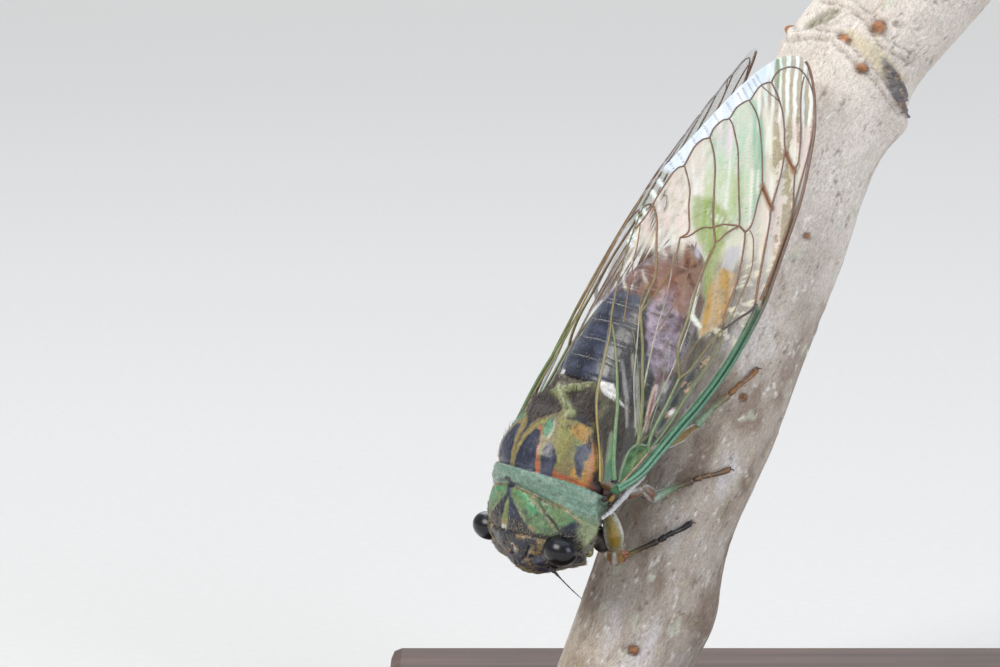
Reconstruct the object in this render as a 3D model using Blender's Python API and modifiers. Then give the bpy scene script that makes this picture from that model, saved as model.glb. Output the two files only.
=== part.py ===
# Annual cicada, life size, head down on a short length of branch that stands on a flat base.
# Sizes are in millimetres and are turned to metres where a mesh or a place is made.
# The insect has its own frame: +X forward, +Y to its left, +Z up through its back.
import math

import bmesh
import bpy
from mathutils import Matrix, Vector, geometry

MM = 0.001
GAP = 0.3                      # clearance between neighbouring solids
SIDES = (("left", 1.0), ("right", -1.0))

# Where the insect is, and how it is turned
BODY_CENTRE = Vector((-12.0, -7.8, 27.5))
BODY_FORWARD = Vector((-0.451, -0.279, -0.849))
BODY_LEFT = Vector((0.631, -0.771, -0.083))

# Outline of the head, thorax and abdomen: place, half width, top, bottom, and the exponent of
# the cross section, where 2 is an ellipse and more is squarer
HEAD_PROFILE = (
    (11.40, 0.9, 0.3, -1.6, 2.0), (11.20, 2.3, 1.15, -2.8, 2.0), (10.80, 3.8, 2.0, -3.7, 2.0),
    (10.30, 4.7, 2.8, -4.2, 2.0), (9.75, 5.0, 3.4, -4.3, 2.0))
THORAX_PROFILE = (
    (9.45, 5.25, 3.60, -4.2, 1.95), (8.00, 5.95, 4.25, -4.3, 1.85), (6.50, 6.25, 4.95, -4.4, 1.80),
    (6.15, 6.30, 5.15, -4.4, 1.80), (5.85, 6.35, 5.60, -4.4, 1.80), (4.95, 6.15, 6.05, -4.5, 1.85),
    (4.65, 5.65, 5.95, -4.5, 2.10), (2.80, 5.75, 6.45, -4.6, 2.20), (0.00, 5.25, 6.10, -4.6, 2.20),
    (-3.00, 4.55, 4.90, -4.6, 2.10), (-4.50, 4.40, 4.15, -4.7, 2.10))
ABDOMEN_PROFILE = (
    (-4.80, 4.45, 4.00, -4.50, 2.1), (-8.00, 4.65, 4.00, -4.75, 2.1), (-11.50, 4.55, 3.60, -4.60, 2.1),
    (-15.00, 3.85, 2.60, -3.90, 2.0), (-18.00, 2.35, 1.00, -2.90, 2.0),
    (-19.67, 0.55, -0.55, -1.75, 2.0))
SPLIT_LEVEL = -2.3             # the back plates end here and the under side begins
FRONT_CURVE = 0.035            # how far the front sections sweep back at their sides
PRONOTUM_RANGE = (9.45, 4.95)
MESONOTUM_RANGE = (4.65, -4.50)
ABDOMEN_RINGS = 8
RING_STEP = 0.16               # each ring stands proud of the next by this
RING_SIDES = 30

# Head
EYE_CENTRE = Vector((9.35, 4.85, 1.25))
EYE_RADII = (1.25, 1.45, 1.38)
CLYPEUS_CENTRE = Vector((9.45, 0.0, -1.55))
CLYPEUS_RADII = (2.10, 2.25, 2.90)
OCELLUS_RADIUS = 0.32
OCELLI = (Vector((10.88, 0.0, 1.98)), Vector((10.38, 0.75, 2.70)), Vector((10.38, -0.75, 2.70)))
ANTENNA_ROOT = Vector((10.72, 3.35, 0.15))
ANTENNA_DIRECTIONS = {"left": Vector((0.36, 0.52, -0.70)), "right": Vector((0.06, -0.30, -1.0))}
ANTENNA_LENGTH = 4.2
ANTENNA_RADIUS = 0.27
ANTENNA_DROOP = Vector((-0.2, 0.1, -0.3))
ROSTRUM_POINTS = ((8.9, -4.98, 0.62), (6.5, -5.25, 0.52), (2.0, -5.42, 0.42), (-1.2, -5.42, 0.28))

# Raised cross at the back of the mesonotum
CROSS_CENTRE = Vector((-2.75, 0.0, 4.95))
CROSS_ARMS = (Vector((-1.10, 2.05, 5.05)), Vector((-4.25, 2.20, 3.70)))
CROSS_RADIUS = 0.55

# Plates under the front of the abdomen
OPERCULUM_CENTRE = Vector((-6.55, 1.62, -5.25))
OPERCULUM_RADII = (1.95, 1.22, 0.30)

# Wings: a point is (along from root to tip, across toward the leading edge)
WING_ROOT = Vector((3.28, 6.15, 0.89))
WING_TIP = Vector((-38.07, 2.89, 0.26))
WING_SLOPE = math.radians(56.0)
WING_BOW = 1.5                 # how far the middle stands outward of the two edges
WING_BOW_SKEW = 0.70           # below 1 the bow is fullest in the half next to the root
WING_SHOULDER = 0.70           # how far the root end is raised to clear the back
WING_SHOULDER_REACH = 6.0
WING_THICKNESS = 0.5
WING_CELL = 1.6                # spacing of the points along edges and veins
FOREWING_OUTLINE = (
    (0.2, 0.5), (6.2, 2.8), (13.0, 4.8), (20.3, 5.75), (29.5, 4.95), (36.5, 3.2), (40.0, 1.4),
    (41.0, -0.5), (39.1, -2.35), (33.4, -4.5), (26.1, -6.85), (20.0, -7.6), (13.3, -5.6),
    (7.2, -4.3), (3.1, -2.0), (0.4, -0.5))
FOREWING_VEINS = {
    "costa": ((1.2, 0.3), (6.4, 2.2), (13.1, 4.2), (20.2, 5.1)),
    "subcosta": ((20.2, 5.1), (29.4, 4.4), (36.2, 2.6), (39.4, 0.8)),
    "margin": ((39.4, 0.8), (38.1, -1.5), (35.9, -2.7), (33.7, -3.6), (31.5, -4.5), (28.5, -5.5),
               (24.5, -6.5), (20.5, -7.0), (14.2, -5.4)),
    "radius": ((5.2, 1.8), (8.1, 2.6), (15.7, 3.8), (20.2, 5.1)),
    "sector": ((16.9, 3.2), (20.0, 4.9), (25.6, 3.5), (33.1, 1.8), (36.8, 0.0), (38.1, -1.5)),
    "median": ((35.9, -2.7), (34.8, -1.3), (29.8, 1.3), (25.5, 1.7), (16.9, 3.2), (11.6, 1.7)),
    "median_rear": ((33.7, -3.6), (32.2, -2.2), (27.3, 0.3), (25.8, 1.1)),
    "cubitus": ((31.5, -4.5), (30.3, -3.5), (23.5, -0.5), (16.8, 0.2), (11.6, 1.6), (4.9, 1.1)),
    "cubitus_rear": ((28.5, -5.5), (26.9, -4.4), (22.9, -2.6), (16.0, -1.0)),
    "cross": ((25.8, 1.1), (24.5, -1.1), (23.1, -2.5)),
    "anal": ((15.4, -3.7), (11.1, -1.4), (7.0, 0.2), (4.4, 0.5)),
    "claval": ((12.6, -4.9), (11.2, -4.2), (6.2, -1.6), (2.4, 0.2)),
}
HINDWING_DROP = 1.08           # how far it lies inside the forewing
HINDWING_OUTLINE = (
    (4.8, 0.9), (8.0, 2.3), (14.0, 3.4), (21.0, 3.0), (26.0, 1.2), (27.2, -1.0), (25.0, -3.4),
    (20.0, -5.0), (14.0, -3.9), (9.5, -2.4), (6.0, -0.6))
HINDWING_VEINS = {
    "costa": ((6.0, 1.0), (14.0, 2.8), (21.0, 2.4), (25.6, 0.6)),
    "median": ((7.0, 0.4), (15.0, 0.4), (24.6, -0.9)),
    "cubitus": ((7.4, -0.4), (14.0, -1.8), (22.4, -3.6)),
}
VEIN_RIDGE = 0.14
VEIN_HALF_WIDTH = 0.30
COSTA_RIDGE = 0.24
COSTA_HALF_WIDTH = 0.50

# The branch, seen from the insect: how it is turned, and how far its axis lies below the body
PERCH_PITCH = math.radians(7.2)
PERCH_YAW = math.radians(1.8)
PERCH_DEPTH = 13.6
PERCH_RADIUS = 5.5
PERCH_CUT_LEVEL = 7.0          # height of the sawn lower end above the table
PERCH_LOWER = 21.0             # reach of the axis below the insect's middle, before that cut
PERCH_NODE = -39.2             # place of the knot where the branch bends
PERCH_BEND = math.radians(19.0)
PERCH_BEND_TOWARD = math.radians(223.5)
PERCH_UPPER_LENGTH = 14.5
PERCH_SIDES = 20
PERCH_RING_SPACING = 2.6
# Swellings of the bark: place along the branch, angle round it, height, reach
PERCH_SWELLINGS = (
    (9.6, 223.0, 0.55, 3.0), (2.0, 235.0, -0.70, 5.0), (-37.0, 222.0, 1.10, 2.6),
    (-50.0, 43.0, 1.80, 6.0), (-33.0, 150.0, 0.35, 4.0), (-22.0, 200.0, 0.30, 5.0))
NODE_SWELLING = 0.40
NODE_REACH = 3.2
UPPER_SWELLING = 0.45          # the branch is this much thicker above the knot

# Legs: root on the under side (x, y), then knee, ankle and toe over the bark as
# (along the branch, degrees round it, height above the bark), where the left legs have
# negative degrees as given here and the right legs have the same angle the other way
LEGS = {
    "fore": {"root": (6.2, 2.9), "knee": (8.15, -13.0, 1.75), "ankle": (5.1, -37.0, 1.15),
             "toe": (2.7, -56.0, 0.12), "femur": (0.85, 1.05, 0.55), "tibia": (0.50, 0.42)},
    "mid": {"root": (1.7, 3.2), "knee": (2.0, -22.0, 1.45), "ankle": (-1.6, -48.0, 1.05),
            "toe": (-3.0, -70.0, 0.12), "femur": (0.80, 0.75, 0.48), "tibia": (0.46, 0.38)},
    "hind": {"root": (-2.3, 3.2), "knee": (-5.2, -34.0, 1.35), "ankle": (-9.5, -49.0, 1.00),
             "toe": (-11.8, -64.0, 0.12), "femur": (0.78, 0.72, 0.46), "tibia": (0.44, 0.36)},
}
COXA_DROP = 1.3                # length of the first leg joint below the body
LEG_SIDES = 8
TARSUS_RADII = (0.36, 0.32, 0.18)

# Stand
BASE_SIZE = (58.0, 42.0, 4.0)
BASE_EDGE = 1.0
ROD_RADIUS = 1.6

# Material name: colour, roughness, metallic
FINISHES = {
    "black shell": ((0.020, 0.018, 0.020), 0.30, 0.0),
    "eye": ((0.012, 0.012, 0.016), 0.08, 0.0),
    "green shell": ((0.115, 0.200, 0.085), 0.42, 0.0),
    "olive shell": ((0.130, 0.140, 0.050), 0.38, 0.0),
    "pale underside": ((0.350, 0.330, 0.260), 0.60, 0.0),
    "wing": ((0.520, 0.560, 0.430), 0.20, 0.0),
    "leg": ((0.180, 0.190, 0.080), 0.40, 0.0),
    "foot": ((0.150, 0.060, 0.025), 0.40, 0.0),
    "bark": ((0.330, 0.290, 0.240), 0.85, 0.0),
    "dark wood": ((0.060, 0.032, 0.018), 0.35, 0.0),
    "steel": ((0.550, 0.550, 0.560), 0.25, 1.0),
}


# Scene, frames and materials

def clear_scene():
    for item in list(bpy.data.objects):
        bpy.data.objects.remove(item, do_unlink=True)


def new_collection(name):
    group = bpy.data.collections.new(name)
    bpy.context.scene.collection.children.link(group)
    return group


def new_empty(name, group, matrix, parent=None):
    empty = bpy.data.objects.new(name, None)
    empty.empty_display_size = 5.0 * MM
    group.objects.link(empty)
    empty.parent = parent
    empty.matrix_local = matrix
    bpy.context.view_layer.update()
    return empty


def axes_matrix(x_axis, y_axis, z_axis, origin):
    matrix = Matrix((x_axis, y_axis, z_axis)).transposed().to_4x4()
    matrix.translation = origin * MM
    return matrix


def body_matrix():
    forward = BODY_FORWARD.normalized()
    left = (BODY_LEFT - forward * BODY_LEFT.dot(forward)).normalized()
    return axes_matrix(forward, left, forward.cross(left), BODY_CENTRE)


def perch_axes():
    # The branch's three directions in the insect's frame: down it, out of the bark, to the side
    down = Vector((math.cos(PERCH_PITCH) * math.cos(PERCH_YAW), math.sin(PERCH_YAW),
                   -math.sin(PERCH_PITCH)))
    out = (Vector((0.0, 0.0, 1.0)) - down * down.z).normalized()
    return down, out, down.cross(out)


def material(name):
    found = bpy.data.materials.get(name)
    if found:
        return found
    colour, roughness, metallic = FINISHES[name]
    made = bpy.data.materials.new(name)
    made.use_nodes = True
    shader = made.node_tree.nodes["Principled BSDF"]
    shader.inputs["Base Color"].default_value = (*colour, 1.0)
    shader.inputs["Roughness"].default_value = roughness
    shader.inputs["Metallic"].default_value = metallic
    return made


def add_part(name, mesh, finish, smooth_angle=40.0, parent=None, group=None):
    part = bpy.data.objects.new(name, mesh)
    (group or PARTS).objects.link(part)
    part.parent = parent
    mesh.materials.clear()
    mesh.materials.append(material(finish))
    mesh.shade_smooth()
    mesh.set_sharp_from_angle(angle=math.radians(smooth_angle))
    return part


# Mesh making

def finish_mesh(work, name):
    bmesh.ops.triangulate(work, faces=work.faces[:])
    bmesh.ops.recalc_face_normals(work, faces=work.faces[:])
    mesh = bpy.data.meshes.new(name)
    work.to_mesh(mesh)
    work.free()
    return mesh


def loft(name, rings):
    # A closed skin through rings of equal count, with a fan of faces over each end
    work = bmesh.new()
    rows = [[work.verts.new(point * MM) for point in ring] for ring in rings]
    count = len(rings[0])
    for row, following in zip(rows, rows[1:]):
        for index in range(count):
            after = (index + 1) % count
            work.faces.new((row[index], row[after], following[after], following[index]))
    for row, ring in ((rows[0], rings[0]), (rows[-1], rings[-1])):
        middle = work.verts.new(sum(ring, Vector()) / count * MM)
        for index in range(count):
            work.faces.new((row[index], row[(index + 1) % count], middle))
    return finish_mesh(work, name)


def ellipsoid(name, centre, radii, segments=20, rings=12):
    work = bmesh.new()
    bmesh.ops.create_uvsphere(work, u_segments=segments, v_segments=rings, radius=1.0)
    scale = Matrix.Diagonal((*radii, 1.0))
    bmesh.ops.transform(work, matrix=Matrix.Scale(MM, 4) @ Matrix.Translation(centre) @ scale,
                        verts=work.verts[:])
    return finish_mesh(work, name)


def keep_largest_shell(work):
    left = set(work.faces)
    shells = []
    while left:
        shell, edge = set(), [left.pop()]
        while edge:
            face = edge.pop()
            shell.add(face)
            for side in face.edges:
                for other in side.link_faces:
                    if other in left:
                        left.discard(other)
                        edge.append(other)
        shells.append(shell)
    shells.sort(key=len)
    for shell in shells[:-1]:
        bmesh.ops.delete(work, geom=list(shell), context="FACES")
    loose = [vertex for vertex in work.verts if not vertex.link_faces]
    bmesh.ops.delete(work, geom=loose, context="VERTS")


def combine(name, base, others, operation):
    # One Boolean of a collection of closed meshes against the base mesh
    tools = bpy.data.collections.new(name + " tools")
    CUTTERS.children.link(tools)
    body = bpy.data.objects.new(name + " base", base)
    CUTTERS.objects.link(body)
    for index, mesh in enumerate(others):
        tool = bpy.data.objects.new(f"{name} tool {index}", mesh)
        tool.hide_render = True
        tool.display_type = "WIRE"
        tools.objects.link(tool)
    boolean = body.modifiers.new("join", "BOOLEAN")
    boolean.operation = operation
    boolean.operand_type = "COLLECTION"
    boolean.collection = tools
    boolean.solver = "EXACT"
    graph = bpy.context.evaluated_depsgraph_get()
    result = bpy.data.meshes.new_from_object(body.evaluated_get(graph), depsgraph=graph)
    for item in list(tools.objects) + [body]:
        bpy.data.objects.remove(item, do_unlink=True)
    bpy.data.collections.remove(tools)
    work = bmesh.new()
    work.from_mesh(result)
    bmesh.ops.remove_doubles(work, verts=work.verts[:], dist=0.004 * MM)
    keep_largest_shell(work)
    return finish_mesh(work, name)


# Curves through a few points

def smooth_value(table, x):
    # A smooth curve through the rows of a table, whose first column falls steadily
    for index in range(len(table) - 1):
        if x >= table[index + 1][0] or index == len(table) - 2:
            break
    low, high = table[index], table[index + 1]
    span = high[0] - low[0]
    t = min(max((x - low[0]) / span, 0.0), 1.0)
    before = table[index - 1] if index else low
    beyond = table[index + 2] if index + 2 < len(table) else high
    values = []
    for column in range(1, len(low)):
        slope_low = tangent(before, low, high, column) * span
        slope_high = tangent(low, high, beyond, column) * span
        values.append((2 * t ** 3 - 3 * t ** 2 + 1) * low[column]
                      + (t ** 3 - 2 * t ** 2 + t) * slope_low
                      + (3 * t ** 2 - 2 * t ** 3) * high[column]
                      + (t ** 3 - t ** 2) * slope_high)
    return values


def tangent(before, here, after, column):
    # Limited slope, so that the curve never overshoots a step
    first = slope(before, here, column)
    second = slope(here, after, column)
    if before is here:
        return second
    if after is here:
        return first
    if first * second <= 0.0:
        return 0.0
    return 2.0 * first * second / (first + second)


def slope(one, two, column):
    run = two[0] - one[0]
    return (two[column] - one[column]) / run if run else 0.0


def smooth_path(points, spacing, closed=False):
    # A Catmull-Rom curve through the points, read at a near even spacing
    knots = [Vector(point) for point in points]
    last = len(knots) if closed else len(knots) - 1
    path = []
    for index in range(last):
        if closed:
            quad = [knots[(index + offset) % len(knots)] for offset in (-1, 0, 1, 2)]
        else:
            quad = [knots[min(max(index + offset, 0), len(knots) - 1)] for offset in (-1, 0, 1, 2)]
        steps = max(1, round((quad[2] - quad[1]).length / spacing))
        for step in range(steps):
            path.append(catmull(quad, step / steps))
    if not closed:
        path.append(knots[-1])
    return path


def catmull(quad, t):
    p0, p1, p2, p3 = quad
    return 0.5 * (2.0 * p1 + (p2 - p0) * t + (2.0 * p0 - 5.0 * p1 + 4.0 * p2 - p3) * t ** 2
                  + (3.0 * p1 - p0 - 3.0 * p2 + p3) * t ** 3)


# Body

def section_point(angle, half_width, top, bottom, squareness):
    cosine, sine = math.cos(angle), math.sin(angle)
    y = half_width * math.copysign(abs(cosine) ** (2.0 / squareness), cosine)
    height = top if sine >= 0.0 else -bottom
    return y, height * math.copysign(abs(sine) ** (2.0 / squareness), sine)


def swept_back(x, y):
    # The front sections bend back toward their sides, as the head does behind the eyes
    share = min(max((x - PRONOTUM_RANGE[1]) / (PRONOTUM_RANGE[0] - PRONOTUM_RANGE[1]), 0.0), 1.0)
    return x - FRONT_CURVE * share * y * y


def whole_ring(x, sizes, sides):
    ring = []
    for index in range(sides):
        y, z = section_point(2.0 * math.pi * index / sides, *sizes)
        ring.append(Vector((swept_back(x, y), y, z)))
    return ring


def half_ring(x, sizes, sides, upper):
    # The part of a section above or below the split, closed by a straight line
    _, _, bottom, squareness = sizes
    level = SPLIT_LEVEL + (GAP / 2 if upper else -GAP / 2)
    start = -math.asin((level / bottom) ** (squareness / 2.0))
    first, last = (start, math.pi - start) if upper else (math.pi - start, 2.0 * math.pi + start)
    ring = []
    for index in range(sides):
        y, z = section_point(first + (last - first) * index / (sides - 1), *sizes)
        ring.append(Vector((swept_back(x, y), y, z)))
    return ring


def spaced(start, end, spacing):
    steps = max(1, round(abs(end - start) / spacing))
    return [start + (end - start) * index / steps for index in range(steps + 1)]


def body_rings(profile, places, sides, upper=None):
    rings = []
    for x in places:
        sizes = smooth_value(profile, x)
        if upper is None:
            rings.append(whole_ring(x, sizes, sides))
        else:
            rings.append(half_ring(x, sizes, sides, upper))
    return rings


def mirrored(point, side):
    return Vector((point.x, point.y * side, point.z))


def eye_mesh(name, side, grow=0.0):
    radii = [radius + grow for radius in EYE_RADII]
    return ellipsoid(name, mirrored(EYE_CENTRE, side), radii)


def make_head(frame):
    rear = HEAD_PROFILE[-1][0]
    places = [row[0] for row in HEAD_PROFILE[:-1]] + [10.02, rear + 0.02, rear - 0.5]
    skull = loft("skull", body_rings(HEAD_PROFILE, places, RING_SIDES))
    extras = [ellipsoid("clypeus", CLYPEUS_CENTRE, CLYPEUS_RADII, 18, 12)]
    extras += [ellipsoid("ocellus", place, [OCELLUS_RADIUS] * 3, 8, 6) for place in OCELLI]
    joined = combine("head", skull, extras, "UNION")
    trimmed = combine("head", joined, [head_limit()], "DIFFERENCE")
    sockets = [eye_mesh("socket", side, GAP) for _, side in SIDES]
    add_part("head", combine("head", trimmed, sockets, "DIFFERENCE"), "black shell", parent=frame)
    for label, side in SIDES:
        add_part("eye_" + label, eye_mesh("eye", side), "eye", parent=frame)


def head_limit():
    # Everything behind the head's rear face, swept back as that face is
    rear, depth = HEAD_PROFILE[-1][0], 5.0
    rings = []
    for reach, back in ((0.5, 0.0), (3.0, 0.0), (5.0, 0.0), (7.0, 0.0), (7.0, depth)):
        ring = []
        for index in range(RING_SIDES):
            angle = 2.0 * math.pi * index / RING_SIDES
            y, z = reach * math.cos(angle), reach * math.sin(angle)
            ring.append(Vector((rear - back - FRONT_CURVE * y * y, y, z)))
        rings.append(ring)
    return loft("head limit", rings)


def make_thorax(frame):
    front, collar = PRONOTUM_RANGE
    places = spaced(front, 6.6, 0.72) + [6.3, 6.05, 5.85, 5.4, collar]
    shield = loft("pronotum", body_rings(THORAX_PROFILE, places, RING_SIDES, True))
    sockets = [eye_mesh("socket", side, GAP) for _, side in SIDES]
    add_part("pronotum", combine("pronotum", shield, sockets, "DIFFERENCE"), "green shell",
             parent=frame)
    back = loft("mesonotum", body_rings(THORAX_PROFILE, spaced(*MESONOTUM_RANGE, 0.95),
                                        RING_SIDES, True))
    add_part("mesonotum", combine("mesonotum", back, cross_arms(), "UNION"), "olive shell",
             parent=frame)
    places = spaced(front, MESONOTUM_RANGE[1], 1.9)
    under = loft("thorax_under", body_rings(THORAX_PROFILE, places, 16, False))
    add_part("thorax_under", under, "pale underside", parent=frame)


def cross_arms():
    arms = []
    for tip in CROSS_ARMS:
        for _, side in SIDES:
            end = mirrored(tip, side)
            path = [CROSS_CENTRE, CROSS_CENTRE.lerp(end, 0.5) + Vector((0, 0, 0.12)), end]
            arms.append(tube_mesh("cross arm", path, (CROSS_RADIUS, 0.45, 0.32), 8))
    return arms


def make_abdomen(frame):
    # Each ring of the abdomen widens to its rear edge and steps in to the next
    front, tail = ABDOMEN_PROFILE[0][0], ABDOMEN_PROFILE[-1][0]
    step = (tail - front) / ABDOMEN_RINGS
    rings = []
    for index in range(ABDOMEN_RINGS):
        start = front + step * index
        for share, proud in ((0.04, 0.0), (0.5, 0.7), (0.94, 1.0)):
            x = start + step * share
            half_width, top, bottom, squareness = smooth_value(ABDOMEN_PROFILE, x)
            rise = RING_STEP * (proud - 0.5)
            sizes = (half_width + rise, top + rise, bottom - rise, squareness)
            rings.append(whole_ring(x, sizes, RING_SIDES))
    mesh = loft("abdomen", rings)
    add_part("abdomen", mesh, "black shell", smooth_angle=25.0, parent=frame)
    for label, side in SIDES:
        plate = ellipsoid("operculum", mirrored(OPERCULUM_CENTRE, side), OPERCULUM_RADII, 16, 8)
        add_part("operculum_" + label, plate, "pale underside", parent=frame)


def under_point(x, y):
    # A point on the under side and the direction straight out of it
    half_width, _, bottom, squareness = smooth_value(THORAX_PROFILE, x)

    def level(across):
        share = min(abs(across) / half_width, 0.999)
        return bottom * (1.0 - share ** squareness) ** (1.0 / squareness)

    reach = 0.05
    lean = (level(y + reach) - level(y - reach)) / (2.0 * reach)
    return Vector((x, y, level(y))), Vector((0.0, lean, -1.0)).normalized()


# Tubes

def tube_rings(path, radii, sides, first_normal=None, last_normal=None):
    # Rings square to the path, and at each end square to the given direction
    rings = []
    for index, centre in enumerate(path):
        before = path[max(index - 1, 0)]
        after = path[min(index + 1, len(path) - 1)]
        along = ((centre - before).normalized() + (after - centre).normalized()).normalized()
        if index == 0 and first_normal:
            along = first_normal.normalized()
        if index == len(path) - 1 and last_normal:
            along = last_normal.normalized()
        side_axis = steady_side(along)
        up_axis = along.cross(side_axis)
        ring = []
        for step in range(sides):
            angle = 2.0 * math.pi * step / sides
            ring.append(centre + radii[index] * (math.cos(angle) * side_axis
                                                 + math.sin(angle) * up_axis))
        rings.append(ring)
    return rings


def steady_side(along):
    reference = Vector((0.12, 1.0, 0.2)).normalized()
    return (reference - along * reference.dot(along)).normalized()


def tube_mesh(name, path, radii, sides, first_normal=None, last_normal=None):
    return loft(name, tube_rings(path, radii, sides, first_normal, last_normal))


def make_feelers(frame):
    path = [Vector((x, 0.0, z)) for x, z, _ in ROSTRUM_POINTS]
    radii = [radius for _, _, radius in ROSTRUM_POINTS]
    beak = tube_mesh("rostrum", path, radii, 8)
    add_part("rostrum", beak, "black shell", parent=frame)
    for label, side in SIDES:
        curve = bpy.data.curves.new("antenna", "CURVE")
        curve.dimensions = "3D"
        curve.bevel_depth = ANTENNA_RADIUS * MM
        curve.bevel_resolution = 1
        curve.use_fill_caps = True
        curve.resolution_u = 1
        curve.render_resolution_u = 0
        spline = curve.splines.new("POLY")
        places = [0.0, 0.25, 0.55, 0.8, 1.0]
        spline.points.add(len(places) - 1)
        direction = ANTENNA_DIRECTIONS[label].normalized()
        for point, share in zip(spline.points, places):
            droop = ANTENNA_DROOP * share * share
            place = mirrored(ANTENNA_ROOT, side) + direction * ANTENNA_LENGTH * share + droop
            point.co = (*(place * MM), 1.0)
            point.radius = 1.0 - 0.55 * share * share
        add_part("antenna_" + label, curve_mesh(curve), "black shell", parent=frame)


def curve_mesh(curve):
    # The curve's tube as a plain mesh, with its caps welded on
    holder = bpy.data.objects.new("curve", curve)
    CUTTERS.objects.link(holder)
    graph = bpy.context.evaluated_depsgraph_get()
    mesh = bpy.data.meshes.new_from_object(holder.evaluated_get(graph), depsgraph=graph)
    bpy.data.objects.remove(holder, do_unlink=True)
    work = bmesh.new()
    work.from_mesh(mesh)
    bmesh.ops.remove_doubles(work, verts=work.verts[:], dist=0.01 * MM)
    return finish_mesh(work, curve.name)


# Wings

def wing_axes(side):
    along = (WING_TIP - WING_ROOT).normalized()
    across = Vector((0.0, math.cos(WING_SLOPE), -math.sin(WING_SLOPE)))
    across = (across - along * across.dot(along)).normalized()
    outward = across.cross(along)
    return [mirrored(axis, side) for axis in (along, across, outward)]


def wing_bow(place, outline):
    # Outward rise of the wing's middle surface: none at the two edges, full half way between
    share = min(max(place.x / (WING_TIP - WING_ROOT).length, 0.0), 1.0)
    crossings = [start.y + (place.x - start.x) / (end.x - start.x) * (end.y - start.y)
                 for start, end in zip(outline, outline[1:] + outline[:1])
                 if min(start.x, end.x) <= place.x < max(start.x, end.x)]
    rise = WING_SHOULDER * math.exp(-(place.x / WING_SHOULDER_REACH) ** 2)
    if len(crossings) > 1:
        low, high = min(crossings), max(crossings)
        across = min(max((place.y - low) / max(high - low, WING_THICKNESS), 0.0), 1.0)
        rise += WING_BOW * math.sin(math.pi * share ** WING_BOW_SKEW) * 4.0 * across * (1.0 - across)
    return rise


def segment_distance(point, start, end):
    run = end - start
    share = min(max((point - start).dot(run) / run.length_squared, 0.0), 1.0)
    return (point - start - run * share).length


def vein_height(point, veins):
    best = 0.0
    for path, half_width, ridge in veins:
        for start, end in zip(path, path[1:]):
            distance = segment_distance(point, start, end)
            best = max(best, ridge * (1.0 - distance / half_width))
    return best


def vein_lines(veins, outline):
    # The middle of each vein and its two feet, where they keep clear of the wing's edge
    lines = []
    loop = list(zip(outline, outline[1:] + outline[:1]))
    for path, half_width, _ in veins:
        rows = ([], [], [])
        for index, point in enumerate(path):
            run = path[min(index + 1, len(path) - 1)] - path[max(index - 1, 0)]
            square = Vector((-run.y, run.x)).normalized() * half_width
            for row, shift in zip(rows, (0.0, 1.0, -1.0)):
                row.append(point + square * shift)
        for row in rows:
            run = []
            for point in row:
                clear = min(segment_distance(point, *side) for side in loop) > 0.22
                if clear and inside(point, outline):
                    run.append(point)
                else:
                    lines.append(run)
                    run = []
            lines.append(run)
    return [line for line in lines if len(line) > 1]


def inside(point, outline):
    hit = False
    for start, end in zip(outline, outline[1:] + outline[:1]):
        if (start.y > point.y) != (end.y > point.y):
            cut = start.x + (point.y - start.y) / (end.y - start.y) * (end.x - start.x)
            if point.x < cut:
                hit = not hit
    return hit


def wing_mesh(name, outline_points, vein_points, drop, side):
    # A flat triangulation of outline and veins, given two faces that bend alike
    outline = smooth_path(outline_points, WING_CELL, closed=True)
    veins = []
    for vein, points in vein_points.items():
        sizes = (COSTA_HALF_WIDTH, COSTA_RIDGE) if vein == "costa" else (VEIN_HALF_WIDTH, VEIN_RIDGE)
        veins.append((smooth_path(points, WING_CELL), *sizes))
    points, edges = list(outline), []
    for line in vein_lines(veins, outline):
        first = len(points)
        points += line
        edges += [(first + index, first + index + 1) for index in range(len(line) - 1)]
    border = [list(range(len(outline)))]
    flat = geometry.delaunay_2d_cdt(points, edges, border, 1, 0.09)
    places, triangles = flat[0], [face for face in flat[2] if len(face) == 3]
    along, across, outward = wing_axes(side)
    root = mirrored(WING_ROOT, side)
    full = smooth_path(FOREWING_OUTLINE, WING_CELL, closed=True)
    work = bmesh.new()
    faces = []
    for sign in (1.0, -1.0):
        layer = []
        for place in places:
            rise = WING_THICKNESS / 2 + vein_height(place, veins)
            depth = wing_bow(place, full) - drop + sign * rise
            layer.append(work.verts.new((root + along * place.x + across * place.y
                                         + outward * depth) * MM))
        faces.append(layer)
    top, under = faces
    open_edges = {}
    for triangle in triangles:
        work.faces.new([top[index] for index in triangle])
        work.faces.new([under[index] for index in reversed(triangle)])
        for start, end in zip(triangle, triangle[1:] + triangle[:1]):
            key = (min(start, end), max(start, end))
            open_edges[key] = None if key in open_edges else (start, end)
    for pair in open_edges.values():
        if pair:
            start, end = pair
            work.faces.new((top[end], top[start], under[start], under[end]))
    loose = [vertex for vertex in work.verts if not vertex.link_faces]
    bmesh.ops.delete(work, geom=loose, context="VERTS")
    return finish_mesh(work, name)


def make_wings(frame):
    for label, side in SIDES:
        fore = wing_mesh("forewing", FOREWING_OUTLINE, FOREWING_VEINS, 0.0, side)
        add_part("forewing_" + label, fore, "wing", 30.0, parent=frame)
        hind = wing_mesh("hindwing", HINDWING_OUTLINE, HINDWING_VEINS, HINDWING_DROP, side)
        add_part("hindwing_" + label, hind, "wing", 30.0, parent=frame)


# Branch

def perch_swelling(along, angle):
    rise = NODE_SWELLING * math.exp(-((along - PERCH_NODE) / NODE_REACH) ** 2)
    for place, around, height, reach in PERCH_SWELLINGS:
        turn = math.radians((angle - around + 180.0) % 360.0 - 180.0) * PERCH_RADIUS
        rise += height * math.exp(-((along - place) ** 2 + turn ** 2) / reach ** 2)
    return rise


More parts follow.
